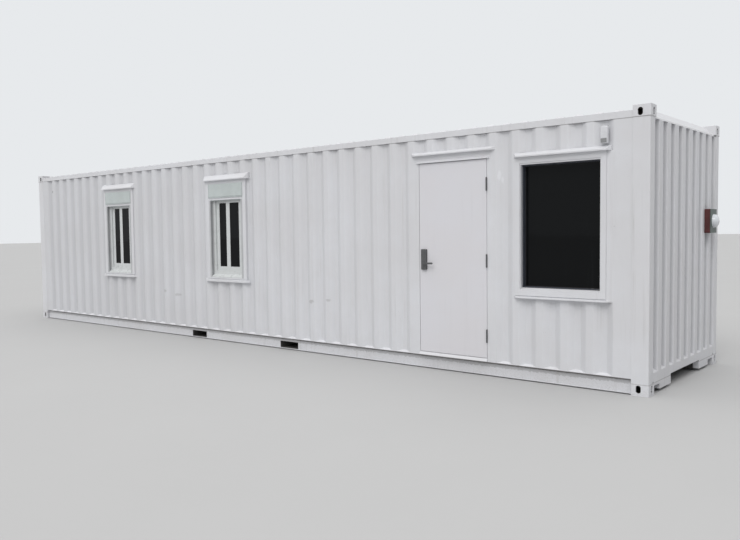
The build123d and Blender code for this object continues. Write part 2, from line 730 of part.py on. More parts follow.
# Insulated lining of the front wall, split beside and over the doorway
jamb_left = DOOR_LEFT - JAMB_WIDTH
jamb_right = DOOR_RIGHT + JAMB_WIDTH
head_top = DOOR_TOP + JAMB_WIDTH
with BuildPart() as front_lining_left:
    box_between(-FRAME_X, jamb_left, -LINING_Y, -ROOM_Y, FLOOR_TOP, ROOM_TOP)
    for centre in WINDOW_CENTRES:
        cut_between(
            centre - WINDOW_WIDTH / 2, centre + WINDOW_WIDTH / 2, -LINING_Y - 1, -ROOM_Y + 1,
            WINDOW_LOW, WINDOW_TOP,
        )
finish(front_lining_left.part, "front_lining_left")

with BuildPart() as front_lining_right:
    box_between(jamb_right, FRAME_X, -LINING_Y, -ROOM_Y, FLOOR_TOP, ROOM_TOP)
    cut_between(PICTURE_LEFT, PICTURE_RIGHT, -LINING_Y - 1, -ROOM_Y + 1, PICTURE_LOW, PICTURE_TOP)
finish(front_lining_right.part, "front_lining_right")

with BuildPart() as front_lining_over_door:
    box_between(jamb_left, jamb_right, -LINING_Y, -ROOM_Y, head_top, ROOM_TOP)
finish(front_lining_over_door.part, "front_lining_over_door")

with BuildPart() as back_lining:
    box_between(-FRAME_X, FRAME_X, ROOM_Y, LINING_Y, FLOOR_TOP, ROOM_TOP)
finish(back_lining.part, "back_lining")

with BuildPart() as end_linings:
    box_between(FRAME_X, END_LINING_X, -POST_Y, POST_Y, FLOOR_TOP, ROOM_TOP)
    box_between(CARGO_INNER_X, -FRAME_X, -POST_Y, POST_Y, FLOOR_TOP, ROOM_TOP)
finish(end_linings.part, "end_linings")

with BuildPart() as ceiling:
    box_between(-FRAME_X, FRAME_X, -LINING_Y, LINING_Y, ROOM_TOP, ROOM_TOP + CEILING_THICKNESS)
finish(ceiling.part, "ceiling")


def taper_ends(x0, x1, low, top, proud, taper):
    """Two wedges that run the ends of a cap or a sill in towards its front lip, to be cut away."""
    wedges = []
    for end, side in ((x0, -1), (x1, 1)):
        with BuildPart() as wedge:
            with BuildSketch(Plane.XY.offset(low - 1)):
                with BuildLine():
                    Polyline(
                        (end, -SKIN_Y), (end - side * taper, -SKIN_Y - proud),
                        (end - side * taper, -SKIN_Y - proud - 1), (end + side, -SKIN_Y - proud - 1),
                        (end + side, -SKIN_Y), close=True,
                    )
                make_face()
            extrude(amount=top - low + 2)
        wedges.append(wedge.part)
    return wedges


def drip_cap(x0, x1, low, top, proud, lip, taper, on_wave=False):
    """A sloping cap over an opening, on a flat plate or run back less steeply into the corrugation's recesses."""
    depth = SIDE_WAVE_DEPTH if on_wave else 0
    slope = (top - low - lip) / proud
    peak = top + DRIP_RECESS_SLOPE * slope * depth
    profile = [(-SKIN_Y + depth, low), (-SKIN_Y - proud, low), (-SKIN_Y - proud, low + lip), (-SKIN_Y, top)]
    if on_wave:
        profile.append((-SKIN_Y + depth, peak))
    with BuildPart() as cap:
        with BuildSketch(Plane.YZ.offset(x0)):
            with BuildLine():
                Polyline(*profile, close=True)
            make_face()
        extrude(amount=x1 - x0)
        add(taper_ends(x0, x1, low, peak, proud, taper), mode=Mode.SUBTRACT)
        if on_wave:
            add(behind_front_wall(x0 - 1, x1 + 1, low - 1, peak + 1), mode=Mode.SUBTRACT)
    return cap.part


def sill(left, right, x0, x1, top, height):
    """A sill under an opening: a slab in the wall, and a longer lip whose top falls to the outside."""
    proud = SILL_PROUD
    fall = SILL_FALL
    with BuildPart() as lip:
        with BuildSketch(Plane.YZ.offset(x0)):
            with BuildLine():
                Polyline(
                    (-SKIN_Y, top), (-SKIN_Y - SURROUND_PROUD, top), (-SKIN_Y - proud, top - fall),
                    (-SKIN_Y - proud, top - height), (-SKIN_Y, top - height), close=True,
                )
            make_face()
        extrude(amount=x1 - x0)
        add(taper_ends(x0, x1, top - height, top, proud, SILL_TAPER), mode=Mode.SUBTRACT)
    with BuildPart() as slab:
        add(lip.part)
        box_between(left, right, -SKIN_Y, -LINING_Y, top - height, top)
    return slab.part


# Casings of the shuttered windows, each with its drip cap and its sill
face = -SKIN_Y - SURROUND_PROUD
half_surround = WINDOW_WIDTH / 2 + SURROUND_WIDTH
half_slot = WINDOW_WIDTH / 2 + GUIDE_WIDTH
trims = []
for centre in WINDOW_CENTRES:
    left = centre - half_surround
    right = centre + half_surround
    trims.append(sill(left, right, left - SILL_SIDE, right + SILL_SIDE, SILL_TOP, SILL_HEIGHT))
    trims.append(drip_cap(
        left - DRIP_SIDE, right + DRIP_SIDE, SURROUND_TOP, DRIP_TOP, DRIP_PROUD, DRIP_LIP, DRIP_TAPER, True,
    ))
with BuildPart() as surrounds:
    for centre in WINDOW_CENTRES:
        box_between(centre - half_surround, centre + half_surround, face, -LINING_Y, SILL_TOP, SURROUND_TOP)
        cut_between(centre - half_slot, centre + half_slot, face - 1, -LINING_Y + 1, WINDOW_LOW, WINDOW_HEAD)
        cut_between(
            centre - half_surround, centre + half_surround, face - 1, face + SILL_GROOVE_DEPTH,
            SILL_TOP, SILL_TOP + SILL_GROOVE,
        )
    add(trims)
finish(surrounds.part, "window_surrounds")

left = PICTURE_LEFT - PICTURE_SURROUND
right = PICTURE_RIGHT + PICTURE_SURROUND
low = PICTURE_LOW - PICTURE_APRON
top = PICTURE_TOP + PICTURE_HEAD
trim_left = left - PICTURE_TRIM_LEFT
trim_right = right + PICTURE_TRIM_RIGHT
picture_sill_top = low + PICTURE_SILL_HEIGHT
picture_sill = sill(left, right, trim_left, trim_right, picture_sill_top, PICTURE_SILL_HEIGHT)
picture_cap = drip_cap(
    trim_left, trim_right, top, top + PICTURE_DRIP_RISE, DRIP_PROUD, DRIP_LIP, DRIP_TAPER, True,
)
with BuildPart() as ledge_cut:
    with BuildSketch(Plane.YZ.offset(PICTURE_LEFT)):
        with BuildLine():
            Polyline(
                (face - 1, PICTURE_LOW), (face - 1, PICTURE_LOW - PICTURE_LEDGE_FALL), (-LINING_Y, PICTURE_LOW),
                close=True,
            )
        make_face()
    extrude(amount=PICTURE_WIDTH)
with BuildPart() as picture_surround:
    box_between(left, right, face, -LINING_Y, picture_sill_top, top)
    box_between(right, right + PICTURE_FLANGE, -SKIN_Y, -SKIN_Y + SHEET, low, top)
    cut_between(PICTURE_LEFT, PICTURE_RIGHT, face - 1, -LINING_Y + 1, PICTURE_LOW, PICTURE_TOP)
    cut_between(
        PICTURE_LEFT - PICTURE_STEP, PICTURE_RIGHT + PICTURE_STEP, face - 1, face + PICTURE_STEP,
        PICTURE_LOW, PICTURE_TOP + PICTURE_HEAD_STEP,
    )
    add(ledge_cut.part, mode=Mode.SUBTRACT)
    cut_between(
        left, right, face - 1, face + SILL_GROOVE_DEPTH, picture_sill_top, picture_sill_top + SILL_GROOVE,
    )
    add([picture_sill, picture_cap])
finish(picture_surround.part, "picture_window_surround")


# Sliding windows: frame, two sashes that pass each other, panes
window_face = -LINING_Y + WINDOW_FRAME_CLEARANCE
frame_back = window_face + WINDOW_FRAME_DEPTH
half_frame = WINDOW_WIDTH / 2 - WINDOW_FRAME_CLEARANCE
frame_low = WINDOW_LOW + REVEAL_LEDGE
frame_top = WINDOW_TOP - WINDOW_FRAME_CLEARANCE
glass_half = half_frame - WINDOW_FRAME_WIDTH
glass_low = frame_low + WINDOW_FRAME_WIDTH
glass_top = frame_top - WINDOW_FRAME_WIDTH
with BuildPart() as window_frames:
    for centre in WINDOW_CENTRES:
        box_between(centre - half_frame, centre + half_frame, window_face, frame_back, frame_low, frame_top)
        cut_between(
            centre - glass_half, centre + glass_half, window_face - 1, frame_back + 1, glass_low, glass_top,
        )
        ledge_low = WINDOW_LOW + WINDOW_FRAME_CLEARANCE
        ledge_front = face + WINDOW_FRAME_CLEARANCE
        with BuildSketch(Plane.YZ.offset(centre - half_frame)):
            with BuildLine():
                Polyline(
                    (frame_back, ledge_low), (ledge_front, ledge_low), (ledge_front, ledge_low + LEDGE_EDGE),
                    (window_face, frame_low), (frame_back, frame_low), close=True,
                )
            make_face()
        extrude(amount=2 * half_frame)
finish(window_frames.part, "window_frames")

sash_spans = []
for centre in WINDOW_CENTRES:
    outer_y = window_face + SASH_SETBACK
    inner_y = outer_y + SASH_DEPTH + SASH_CLEARANCE
    middle = centre - MEETING_SHIFT
    stile = middle - MEETING_STILE / 2
    lap = middle + MEETING_STILE / 2 + SASH_OVERLAP
    sash_spans.append((stile, centre + glass_half - SASH_CLEARANCE, outer_y, MEETING_STILE, SASH_WIDTH))
    sash_spans.append((centre - glass_half + SASH_CLEARANCE, lap, inner_y, SASH_WIDTH, SASH_WIDTH))

sash_low = glass_low + SASH_CLEARANCE
sash_top = glass_top - SASH_CLEARANCE
with BuildPart() as sashes:
    for x0, x1, y0, left_stile, right_stile in sash_spans:
        box_between(x0, x1, y0, y0 + SASH_DEPTH, sash_low, sash_top)
        cut_between(
            x0 + left_stile, x1 - right_stile, y0 - 1, y0 + SASH_DEPTH + 1,
            sash_low + SASH_WIDTH, sash_top - SASH_WIDTH,
        )
finish(sashes.part, "window_sashes")

with BuildPart() as panes:
    for x0, x1, y0, left_stile, right_stile in sash_spans:
        pane_y = y0 + (SASH_DEPTH - PANE) / 2
        box_between(
            x0 + left_stile, x1 - right_stile, pane_y, pane_y + PANE, sash_low + SASH_WIDTH, sash_top - SASH_WIDTH,
        )
finish(panes.part, "window_panes")


# Roller shutter boxes over the windows
with BuildPart() as shutter_boxes:
    for centre in WINDOW_CENTRES:
        box_between(
            centre - SHUTTER_BOX_WIDTH / 2, centre + SHUTTER_BOX_WIDTH / 2,
            face - SHUTTER_BOX_PROUD, face, SHUTTER_BOX_LOW, SHUTTER_BOX_TOP,
        )
finish(shutter_boxes.part, "shutter_boxes")

# Guide rails in the reveal, each slotted on the side of the opening for the shutter's slats
with BuildPart() as guides:
    for centre in WINDOW_CENTRES:
        for side in (-1, 1):
            edge = centre + side * WINDOW_WIDTH / 2
            slot_front = face + GUIDE_LIP
            box_between(edge, edge + side * GUIDE_WIDTH, face - GUIDE_PROUD, -LINING_Y, WINDOW_LOW, WINDOW_HEAD)
            cut_between(
                edge - side, edge + side * GUIDE_SLOT_DEPTH, slot_front, slot_front + GUIDE_SLOT,
                WINDOW_LOW - 1, WINDOW_HEAD + 1,
            )
finish(guides.part, "shutter_guides")


# Picture window: deep frame and one fixed pane
picture_frame_y = -LINING_Y
with BuildPart() as picture_frame:
    box_between(
        PICTURE_LEFT, PICTURE_RIGHT, picture_frame_y, picture_frame_y + PICTURE_FRAME_DEPTH,
        PICTURE_LOW, PICTURE_TOP,
    )
    cut_between(
        PICTURE_LEFT + PICTURE_FRAME_WALL, PICTURE_RIGHT - PICTURE_FRAME_WALL,
        picture_frame_y - 1, picture_frame_y + PICTURE_FRAME_DEPTH + 1,
        PICTURE_LOW + PICTURE_FRAME_WALL, PICTURE_TOP - PICTURE_FRAME_WALL,
    )
finish(picture_frame.part, "picture_window_frame")

picture_pane_y = -SKIN_Y + PICTURE_PANE_SETBACK
with BuildPart() as picture_pane:
    box_between(
        PICTURE_LEFT + PICTURE_FRAME_WALL, PICTURE_RIGHT - PICTURE_FRAME_WALL,
        picture_pane_y, picture_pane_y + PANE,
        PICTURE_LOW + PICTURE_FRAME_WALL, PICTURE_TOP - PICTURE_FRAME_WALL,
    )
finish(picture_pane.part, "picture_window_pane")


# Door frame with a stop behind the leaf
jamb_back = -ROOM_Y
stop_y = -SKIN_Y + LEAF_THICKNESS + DOOR_GAP
with BuildPart() as door_frame:
    jamb_front = -SKIN_Y + SHEET
    box_between(jamb_left, jamb_right, jamb_front, jamb_back, FLOOR_TOP, head_top)
    cut_between(DOOR_LEFT, DOOR_RIGHT, jamb_front - 1, jamb_back + 1, FLOOR_TOP, DOOR_TOP)
    for x0, x1 in ((DOOR_LEFT, DOOR_LEFT + STOP_WIDTH), (DOOR_RIGHT - STOP_WIDTH, DOOR_RIGHT)):
        box_between(x0, x1, stop_y, stop_y + STOP_DEPTH, DOOR_LOW, DOOR_TOP)
    box_between(DOOR_LEFT, DOOR_RIGHT, stop_y, stop_y + STOP_DEPTH, DOOR_TOP - STOP_WIDTH, DOOR_TOP)
finish(door_frame.part, "door_frame")

with BuildPart() as threshold:
    with BuildSketch(Plane.YZ.offset(DOOR_LEFT)):
        with BuildLine():
            Polyline(
                (-SKIN_Y - THRESHOLD_PROUD, BOTTOM_RAIL_TOP),
                (-SKIN_Y - THRESHOLD_PROUD, BOTTOM_RAIL_TOP + THRESHOLD_EDGE),
                (-SKIN_Y, DOOR_LOW), (jamb_back, DOOR_LOW), (jamb_back, FLOOR_TOP), (-LINING_Y, FLOOR_TOP),
                (-LINING_Y, BOTTOM_RAIL_TOP), close=True,
            )
        make_face()
    extrude(amount=DOOR_WIDTH)
finish(threshold.part, "door_threshold")


# Door surround: a flat plate beside and over the doorway, with two drip lips over it
upper_lip = drip_cap(
    DOOR_LEFT - HOOD_SIDE, DOOR_RIGHT + HOOD_SIDE, HOOD_TOP - HOOD_HEIGHT, HOOD_TOP,
    HOOD_PROUD, HOOD_LIP, HOOD_TAPER,
)
lower_lip = drip_cap(
    DOOR_LEFT - LOWER_LIP_SIDE, DOOR_RIGHT + LOWER_LIP_SIDE, DOOR_TOP, DOOR_TOP + LOWER_LIP_HEIGHT,
    LOWER_LIP_PROUD, LOWER_LIP_EDGE, LOWER_LIP_PROUD,
)
with BuildPart() as door_surround:
    box_between(PLATE_LEFT, PLATE_RIGHT, -SKIN_Y, -SKIN_Y + SHEET, wall_low, HOOD_TOP)
    cut_between(DOOR_LEFT, DOOR_RIGHT, -SIDE_Y, -LINING_Y, wall_low - 1, DOOR_TOP)
    box_between(PLATE_LEFT, PLATE_RIGHT, -SKIN_Y + SHEET, -LINING_Y, HOOD_TOP - HOOD_SHELF, HOOD_TOP)
    add([upper_lip, lower_lip])
finish(door_surround.part, "door_surround")


# Door leaf, flush with the flat of the wall
leaf_left = DOOR_LEFT + DOOR_GAP
leaf_right = DOOR_RIGHT - DOOR_GAP
leaf_back = -SKIN_Y + LEAF_THICKNESS
lock_x = leaf_left + LOCK_BACKSET
with BuildPart() as leaf:
    box_between(leaf_left, leaf_right, -SKIN_Y, leaf_back, DOOR_LOW + DOOR_GAP, DOOR_TOP - DOOR_GAP)
    with BuildSketch(Plane.XZ.offset(SKIN_Y)):
        with Locations((lock_x, LEVER_LEVEL)):
            Circle(SPINDLE_BORE)
    extrude(amount=-LEAF_THICKNESS, mode=Mode.SUBTRACT)
finish(leaf.part, "door_leaf")


# Hinges: the outer knuckles and the pin belong to the frame, the middle knuckle to the leaf
hinge_x = DOOR_RIGHT - DOOR_GAP / 2
hinge_y = -SKIN_Y - HINGE_KNUCKLE_RADIUS - 1
knuckle = HINGE_HEIGHT / 3
plate_front = -SKIN_Y - 0.5


def knuckle_between(low, top, radius, mode=Mode.ADD):
    """A round length of the hinge barrel between two levels."""
    with Locations((hinge_x, hinge_y, (low + top) / 2)):
        Cylinder(radius, top - low, mode=mode)


with BuildPart() as frame_hinges:
    for level in HINGE_LEVELS:
        low = level - HINGE_HEIGHT / 2
        top = level + HINGE_HEIGHT / 2
        plate_x = DOOR_RIGHT - HINGE_PLATE
        box_between(plate_x, DOOR_RIGHT, plate_front, plate_front + HINGE_PLATE_DEPTH, low, top)
        for z0 in (low, top - knuckle):
            knuckle_between(z0, z0 + knuckle, HINGE_KNUCKLE_RADIUS)
            box_between(plate_x, DOOR_RIGHT, hinge_y, plate_front, z0, z0 + knuckle)
        knuckle_between(low, top, HINGE_PIN_RADIUS)
finish(frame_hinges.part, "frame_hinge_leaves")

with BuildPart() as leaf_hinges:
    for level in HINGE_LEVELS:
        low = level - HINGE_HEIGHT / 2
        top = level + HINGE_HEIGHT / 2
        box_between(leaf_right, leaf_right + HINGE_PLATE, plate_front, plate_front + HINGE_PLATE_DEPTH, low, top)
        z0 = low + knuckle + HINGE_KNUCKLE_GAP
        z1 = top - knuckle - HINGE_KNUCKLE_GAP
        knuckle_between(z0, z1, HINGE_KNUCKLE_RADIUS)
        box_between(leaf_right, leaf_right + HINGE_PLATE, hinge_y, plate_front, z0, z1)
        knuckle_between(z0, z1, HINGE_PIN_RADIUS + HINGE_PIN_CLEARANCE, Mode.SUBTRACT)
finish(leaf_hinges.part, "leaf_hinge_leaves")


# Lock: a tall case outside, a plain plate inside, bored for the spindle
with BuildPart() as lock:
    with BuildSketch(Plane.XZ.offset(SKIN_Y)):
        with Locations((lock_x, LOCK_LEVEL)):
            RectangleRounded(LOCK_WIDTH, LOCK_HEIGHT, LOCK_ROUND)
    extrude(amount=LOCK_DEPTH)
    with BuildSketch(Plane.XZ.offset(-leaf_back)):
        with Locations((lock_x, LOCK_LEVEL)):
            RectangleRounded(INNER_LOCK_WIDTH, INNER_LOCK_HEIGHT, LOCK_ROUND)
    extrude(amount=-INNER_LOCK_DEPTH)
    with BuildSketch(Plane.XZ.offset(SKIN_Y + LOCK_DEPTH)):
        with Locations((lock_x, LEVER_LEVEL)):
            Circle(SPINDLE_BORE)
    extrude(amount=-(LOCK_DEPTH + LEAF_THICKNESS + INNER_LOCK_DEPTH), mode=Mode.SUBTRACT)
finish(lock.part, "door_lock")


# Lever handles on both faces, joined by the spindle
outer_hub = SKIN_Y + LOCK_DEPTH + LEVER_CLEARANCE
inner_hub = -leaf_back - INNER_LOCK_DEPTH - LEVER_CLEARANCE
with BuildPart() as lever:
    with BuildSketch(Plane.XZ.offset(inner_hub)):
        with Locations((lock_x, LEVER_LEVEL)):
            Circle(SPINDLE_RADIUS)
    extrude(amount=outer_hub - inner_hub)
    for start, way in ((outer_hub, 1), (inner_hub, -1)):
        with BuildSketch(Plane.XZ.offset(start)):
            with Locations((lock_x, LEVER_LEVEL)):
                Circle(LEVER_HUB_RADIUS)
        extrude(amount=way * LEVER_HUB_DEPTH)
        with BuildSketch(Plane.XZ.offset(start)):
            with Locations((lock_x, LEVER_LEVEL)):
                Circle(SPINDLE_RADIUS + SPINDLE_COLLAR)
        extrude(amount=way * (LEVER_HUB_DEPTH + LEVER_STANDOFF))
        with BuildSketch(Plane.XZ.offset(start + way * (LEVER_STANDOFF - LEVER_THICKNESS + LEVER_HUB_DEPTH))):
            with Locations((lock_x + LEVER_LENGTH / 2 - SPINDLE_RADIUS - SPINDLE_COLLAR, LEVER_LEVEL)):
                SlotOverall(LEVER_LENGTH, LEVER_HEIGHT)
        extrude(amount=way * LEVER_THICKNESS)
finish(lever.part, "door_lever")


# Wall light over the picture window: a flat hood with a round top, on a block that fills the recess
# behind it, and a lens low in its face
light_top = LIGHT_LOW + LIGHT_HEIGHT
light_left = LIGHT_X - LIGHT_WIDTH / 2
with BuildPart() as light:
    recess_y = -SKIN_Y + SIDE_WAVE_DEPTH
    recess_x = side_centres[-1]
    box_between(
        recess_x - LIGHT_BLOCK_WIDTH / 2, recess_x + LIGHT_BLOCK_WIDTH / 2, -SKIN_Y, recess_y,
        light_top - LIGHT_BLOCK_HEIGHT, light_top,
    )
    with BuildSketch(Plane.XZ.offset(SKIN_Y)):
        with BuildLine():
            Line((light_left, LIGHT_LOW), (light_left + LIGHT_WIDTH, LIGHT_LOW))
            Line((light_left + LIGHT_WIDTH, LIGHT_LOW), (light_left + LIGHT_WIDTH, light_top - LIGHT_ARC))
            ThreePointArc(
                (light_left + LIGHT_WIDTH, light_top - LIGHT_ARC), (LIGHT_X, light_top),
                (light_left, light_top - LIGHT_ARC),
            )
            Line((light_left, light_top - LIGHT_ARC), (light_left, LIGHT_LOW))
        make_face()
    extrude(amount=LIGHT_PROUD)
    front_edges = light.faces().sort_by(Axis.Y)[0].edges().sort_by(Axis.Z)[1:]
    chamfer(front_edges, LIGHT_CHAMFER)
finish(light.part, "wall_light")

lens_y = -SKIN_Y - LIGHT_PROUD
with BuildPart() as lens:
    box_between(
        LIGHT_X - LENS_WIDTH / 2, LIGHT_X + LENS_WIDTH / 2, lens_y - LENS_PROUD, lens_y,
        LIGHT_LOW + LIGHT_CHAMFER, LIGHT_LOW + LIGHT_CHAMFER + LENS_HEIGHT,
    )
    chamfer(lens.faces().sort_by(Axis.Y)[0].edges(), LENS_PROUD / 2)
finish(lens.part, "wall_light_lens")


# Utility box on the blind end: case, cover, round glass dome
utility_low = UTILITY_LEVEL - UTILITY_HEIGHT / 2
with BuildPart() as utility_case:
    with BuildSketch(Plane.YZ.offset(SKIN_X)):
        with Locations((UTILITY_Y, UTILITY_LEVEL)):
            RectangleRounded(UTILITY_WIDTH, UTILITY_HEIGHT, LOCK_ROUND)
    extrude(amount=UTILITY_DEPTH)
finish(utility_case.part, "utility_box_case")

with BuildPart() as utility_cover:
    with BuildSketch(Plane.YZ.offset(SKIN_X + UTILITY_DEPTH)):
        with Locations((UTILITY_Y, UTILITY_LEVEL)):
            RectangleRounded(UTILITY_WIDTH, UTILITY_HEIGHT, LOCK_ROUND)
    extrude(amount=UTILITY_COVER)
finish(utility_cover.part, "utility_box_cover")

# The dome's profile steps along a quarter of an ellipse from the collar to the crown
dome_base = SKIN_X + UTILITY_DEPTH + UTILITY_COVER
dome_profile = [(dome_base, UTILITY_Y), (dome_base, UTILITY_Y + DOME_RADIUS)]
for k in range(DOME_STEPS + 1):
    turn = k * math.pi / 2 / DOME_STEPS
    out = dome_base + DOME_COLLAR + DOME_RISE * math.sin(turn)
    dome_profile.append((out, UTILITY_Y + DOME_RADIUS * math.cos(turn)))
with BuildPart() as dome:
    with BuildSketch(Plane.XY.offset(UTILITY_LEVEL)):
        with BuildLine():
            Polyline(*dome_profile, close=True)
        make_face()
    revolve(axis=Axis((0, UTILITY_Y, UTILITY_LEVEL), (1, 0, 0)))
finish(dome.part, "utility_box_dome")


# Cargo doors: two closed leaves, each a frame round a panel with level recesses
leaf_low = CARGO_SILL_TOP + CARGO_LEAF_GAP
leaf_top = END_HEADER_LOW - CARGO_LEAF_GAP
panel_low = leaf_low + CARGO_FRAME_WIDTH
panel_top = leaf_top - CARGO_FRAME_WIDTH
with BuildPart() as cargo_leaves:
    for side in (-1, 1):
        near = side * CARGO_LEAF_GAP / 2
        far = side * (POST_Y - CARGO_LEAF_GAP)
        inner_near = near + side * CARGO_FRAME_WIDTH
        inner_far = far - side * CARGO_FRAME_WIDTH
        box_between(CARGO_LEAF_X, CARGO_INNER_X, near, far, leaf_low, leaf_top)
        cut_between(CARGO_LEAF_X - 1, CARGO_INNER_X + 1, inner_near, inner_far, panel_low, panel_top)
        pitch = (panel_top - panel_low) / CARGO_WAVE_COUNT
        centres = [panel_low + (k + 0.5) * pitch for k in range(CARGO_WAVE_COUNT)]
        line = wave_line(
            centres, panel_low, panel_top, CARGO_WAVE_OPENING - 2 * CARGO_WAVE_SLOPE, CARGO_WAVE_SLOPE,
            CARGO_WAVE_DEPTH,
        )
        outline = line + [(z, depth + CARGO_PANEL) for z, depth in reversed(line)]
        with BuildSketch(Plane.XZ.offset(-min(inner_near, inner_far))):
            with BuildLine():
                Polyline(*[(CARGO_LEAF_X + depth, z) for z, depth in outline], close=True)
            make_face()
        extrude(amount=-abs(inner_far - inner_near))
finish(cargo_leaves.part, "cargo_door_leaves")

bar_x = CARGO_LEAF_X - LOCK_BAR_RADIUS - LOCK_BAR_STANDOFF
bar_rows = [side * y for side in (-1, 1) for y in (LOCK_BAR_INSET, LOCK_BAR_OUTER)]
bar_low = CARGO_SILL_TOP - LOCK_BAR_END
bar_top = END_HEADER_LOW + LOCK_BAR_END
handle_spans = []
for bar_y in bar_rows:
    outward = math.copysign(1, bar_y)
    inner_row = abs(bar_y) == LOCK_BAR_INSET
    way = outward if inner_row else -outward
    handle_spans.append((bar_y, bar_y + way * HANDLE_LENGTH, INNER_HANDLE_LEVEL if inner_row else OUTER_HANDLE_LEVEL))
with BuildPart() as lock_bars:
    for bar_y, tip_y, level in handle_spans:
        with Locations((bar_x, bar_y, (bar_low + bar_top) / 2)):
            Cylinder(LOCK_BAR_RADIUS, bar_top - bar_low)
        box_between(
            bar_x - HANDLE_THICKNESS / 2, bar_x + HANDLE_THICKNESS / 2, bar_y, tip_y,
            level - HANDLE_HEIGHT / 2, level + HANDLE_HEIGHT / 2,
        )
finish(lock_bars.part, "cargo_door_lock_bars")

# Each bar runs through square straps on feet; a plain block takes the end of each handle
guide_half = CAM_HEIGHT / 2
guide_levels = (bar_low + guide_half, *LOCK_BAR_BRACKETS, bar_top - guide_half)
bore = LOCK_BAR_RADIUS + STRAP_CLEARANCE
strap = bore + STRAP_WALL
with BuildPart() as bar_guides:
    for bar_y, tip_y, handle_level in handle_spans:
        for level in guide_levels:
            box_between(
                CARGO_LEAF_X - STRAP_WALL, CARGO_LEAF_X, bar_y - CAM_WIDTH / 2, bar_y + CAM_WIDTH / 2,
                level - guide_half, level + guide_half,
            )
            box_between(
                bar_x - strap, CARGO_LEAF_X, bar_y - strap, bar_y + strap,
                level - guide_half / 2, level + guide_half / 2,
            )
        cut_between(bar_x - bore, bar_x + bore, bar_y - bore, bar_y + bore, bar_low - 1, bar_top + 1)
        box_between(
            bar_x + HANDLE_THICKNESS / 2, CARGO_LEAF_X, tip_y - CAM_WIDTH / 2, tip_y + CAM_WIDTH / 2,
            handle_level - guide_half, handle_level + guide_half,
        )
finish(bar_guides.part, "cargo_door_bar_guides")

with BuildPart() as cargo_hinges:
    for side in (-1, 1):
        for level in CARGO_HINGE_LEVELS:
            edge = side * (POST_Y - CARGO_LEAF_GAP)
            box_between(
                CARGO_LEAF_X - HANDLE_THICKNESS, CARGO_LEAF_X, edge - side * CARGO_HINGE_REACH, edge,
                level - CARGO_HINGE_HEIGHT / 2, level + CARGO_HINGE_HEIGHT / 2,
            )
            with Locations((CARGO_LEAF_X - CARGO_HINGE_RADIUS, POST_Y * side - side * CARGO_HINGE_RADIUS, level)):
                Cylinder(CARGO_HINGE_RADIUS, CARGO_HINGE_HEIGHT)
finish(cargo_hinges.part, "cargo_door_hinges")
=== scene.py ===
"""Finish of a container cabin on its CAD frame: sheet folds, trims, fittings, paints, glass and light."""

import json
import math
from functools import cache, partial
from itertools import product

import bmesh
import bpy
from bpy.props import FloatProperty, FloatVectorProperty, PointerProperty
from mathutils import Matrix, Vector


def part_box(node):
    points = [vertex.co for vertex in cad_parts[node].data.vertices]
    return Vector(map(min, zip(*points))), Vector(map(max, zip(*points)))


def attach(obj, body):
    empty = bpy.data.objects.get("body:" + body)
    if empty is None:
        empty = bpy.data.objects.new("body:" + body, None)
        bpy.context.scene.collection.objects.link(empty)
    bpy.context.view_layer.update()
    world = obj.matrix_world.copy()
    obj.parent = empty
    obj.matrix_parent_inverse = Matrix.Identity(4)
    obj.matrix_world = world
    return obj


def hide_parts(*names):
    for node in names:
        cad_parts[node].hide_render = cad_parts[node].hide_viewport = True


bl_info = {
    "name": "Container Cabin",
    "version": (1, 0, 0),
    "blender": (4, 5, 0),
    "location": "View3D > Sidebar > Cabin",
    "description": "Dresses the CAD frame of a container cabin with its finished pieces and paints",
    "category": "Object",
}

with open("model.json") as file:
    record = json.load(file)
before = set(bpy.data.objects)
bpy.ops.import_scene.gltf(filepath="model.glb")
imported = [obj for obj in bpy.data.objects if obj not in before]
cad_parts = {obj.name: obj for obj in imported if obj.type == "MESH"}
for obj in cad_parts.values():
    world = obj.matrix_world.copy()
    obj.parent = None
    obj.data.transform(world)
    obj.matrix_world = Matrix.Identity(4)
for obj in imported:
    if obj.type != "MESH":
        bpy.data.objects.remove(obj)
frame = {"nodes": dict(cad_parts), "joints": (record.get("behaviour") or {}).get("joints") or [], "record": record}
bpy.context.view_layer.update()

# The record's material slot of each CAD node
SLOTS = {part["node"]: part["material_slot"] for part in frame["record"]["subparts"]}


# Settings

def tint(name, description, colour):
    """A colour setting for the sidebar."""
    return FloatVectorProperty(
        name=name, description=description, subtype="COLOR", size=4, min=0, max=1, default=(*colour, 1),
    )


def length(name, description, metres):
    """A length setting for the sidebar, in metres."""
    return FloatProperty(
        name=name, description=description, default=metres, min=0, unit="LENGTH", precision=4,
    )


class CabinSizes(bpy.types.PropertyGroup):
    """Sizes of the finishing work"""
    wall_fold: length("Wall fold", "How far a fold of the side sheets is rounded on each side of it", 0.009)
    end_fold: length("End fold", "How far a fold of the end sheet is rounded on each side of it", 0.007)
    recess_rise: length("Recess floor", "How far the floor of each recess of the side sheets rises", 0.021)
    roof_fold: length("Roof fold", "How far a fold of the roof sheet is rounded on each side of it", 0.006)
    casting_edge: length("Casting edge", "Rounding of the corner castings' edges", 0.004)
    frame_edge: length("Frame edge", "Rounding of the edges of posts, headers and sills", 0.002)
    trim_edge: length("Trim edge", "Rounding of the edges of casings, caps and sills", 0.0018)
    fitting_edge: length("Fitting edge", "Rounding of the edges of locks, hinges and boxes", 0.0012)
    weld_radius: length("Weld bead", "Radius of the weld beads at the corner castings", 0.004)
    gasket: length("Gasket", "Width of the rubber gaskets round the panes", 0.007)
    skirting_height: length("Skirting height", "Height of the skirting boards inside", 0.08)
    batten_pitch: length("Batten pitch", "Distance between the joint strips of the wall boards", 1.22)
    button_pitch: length("Button pitch", "Distance between the buttons of the door lock", 0.019)
    bolt_radius: length("Bolt radius", "Radius of the bolt heads on the cargo door hinges", 0.009)


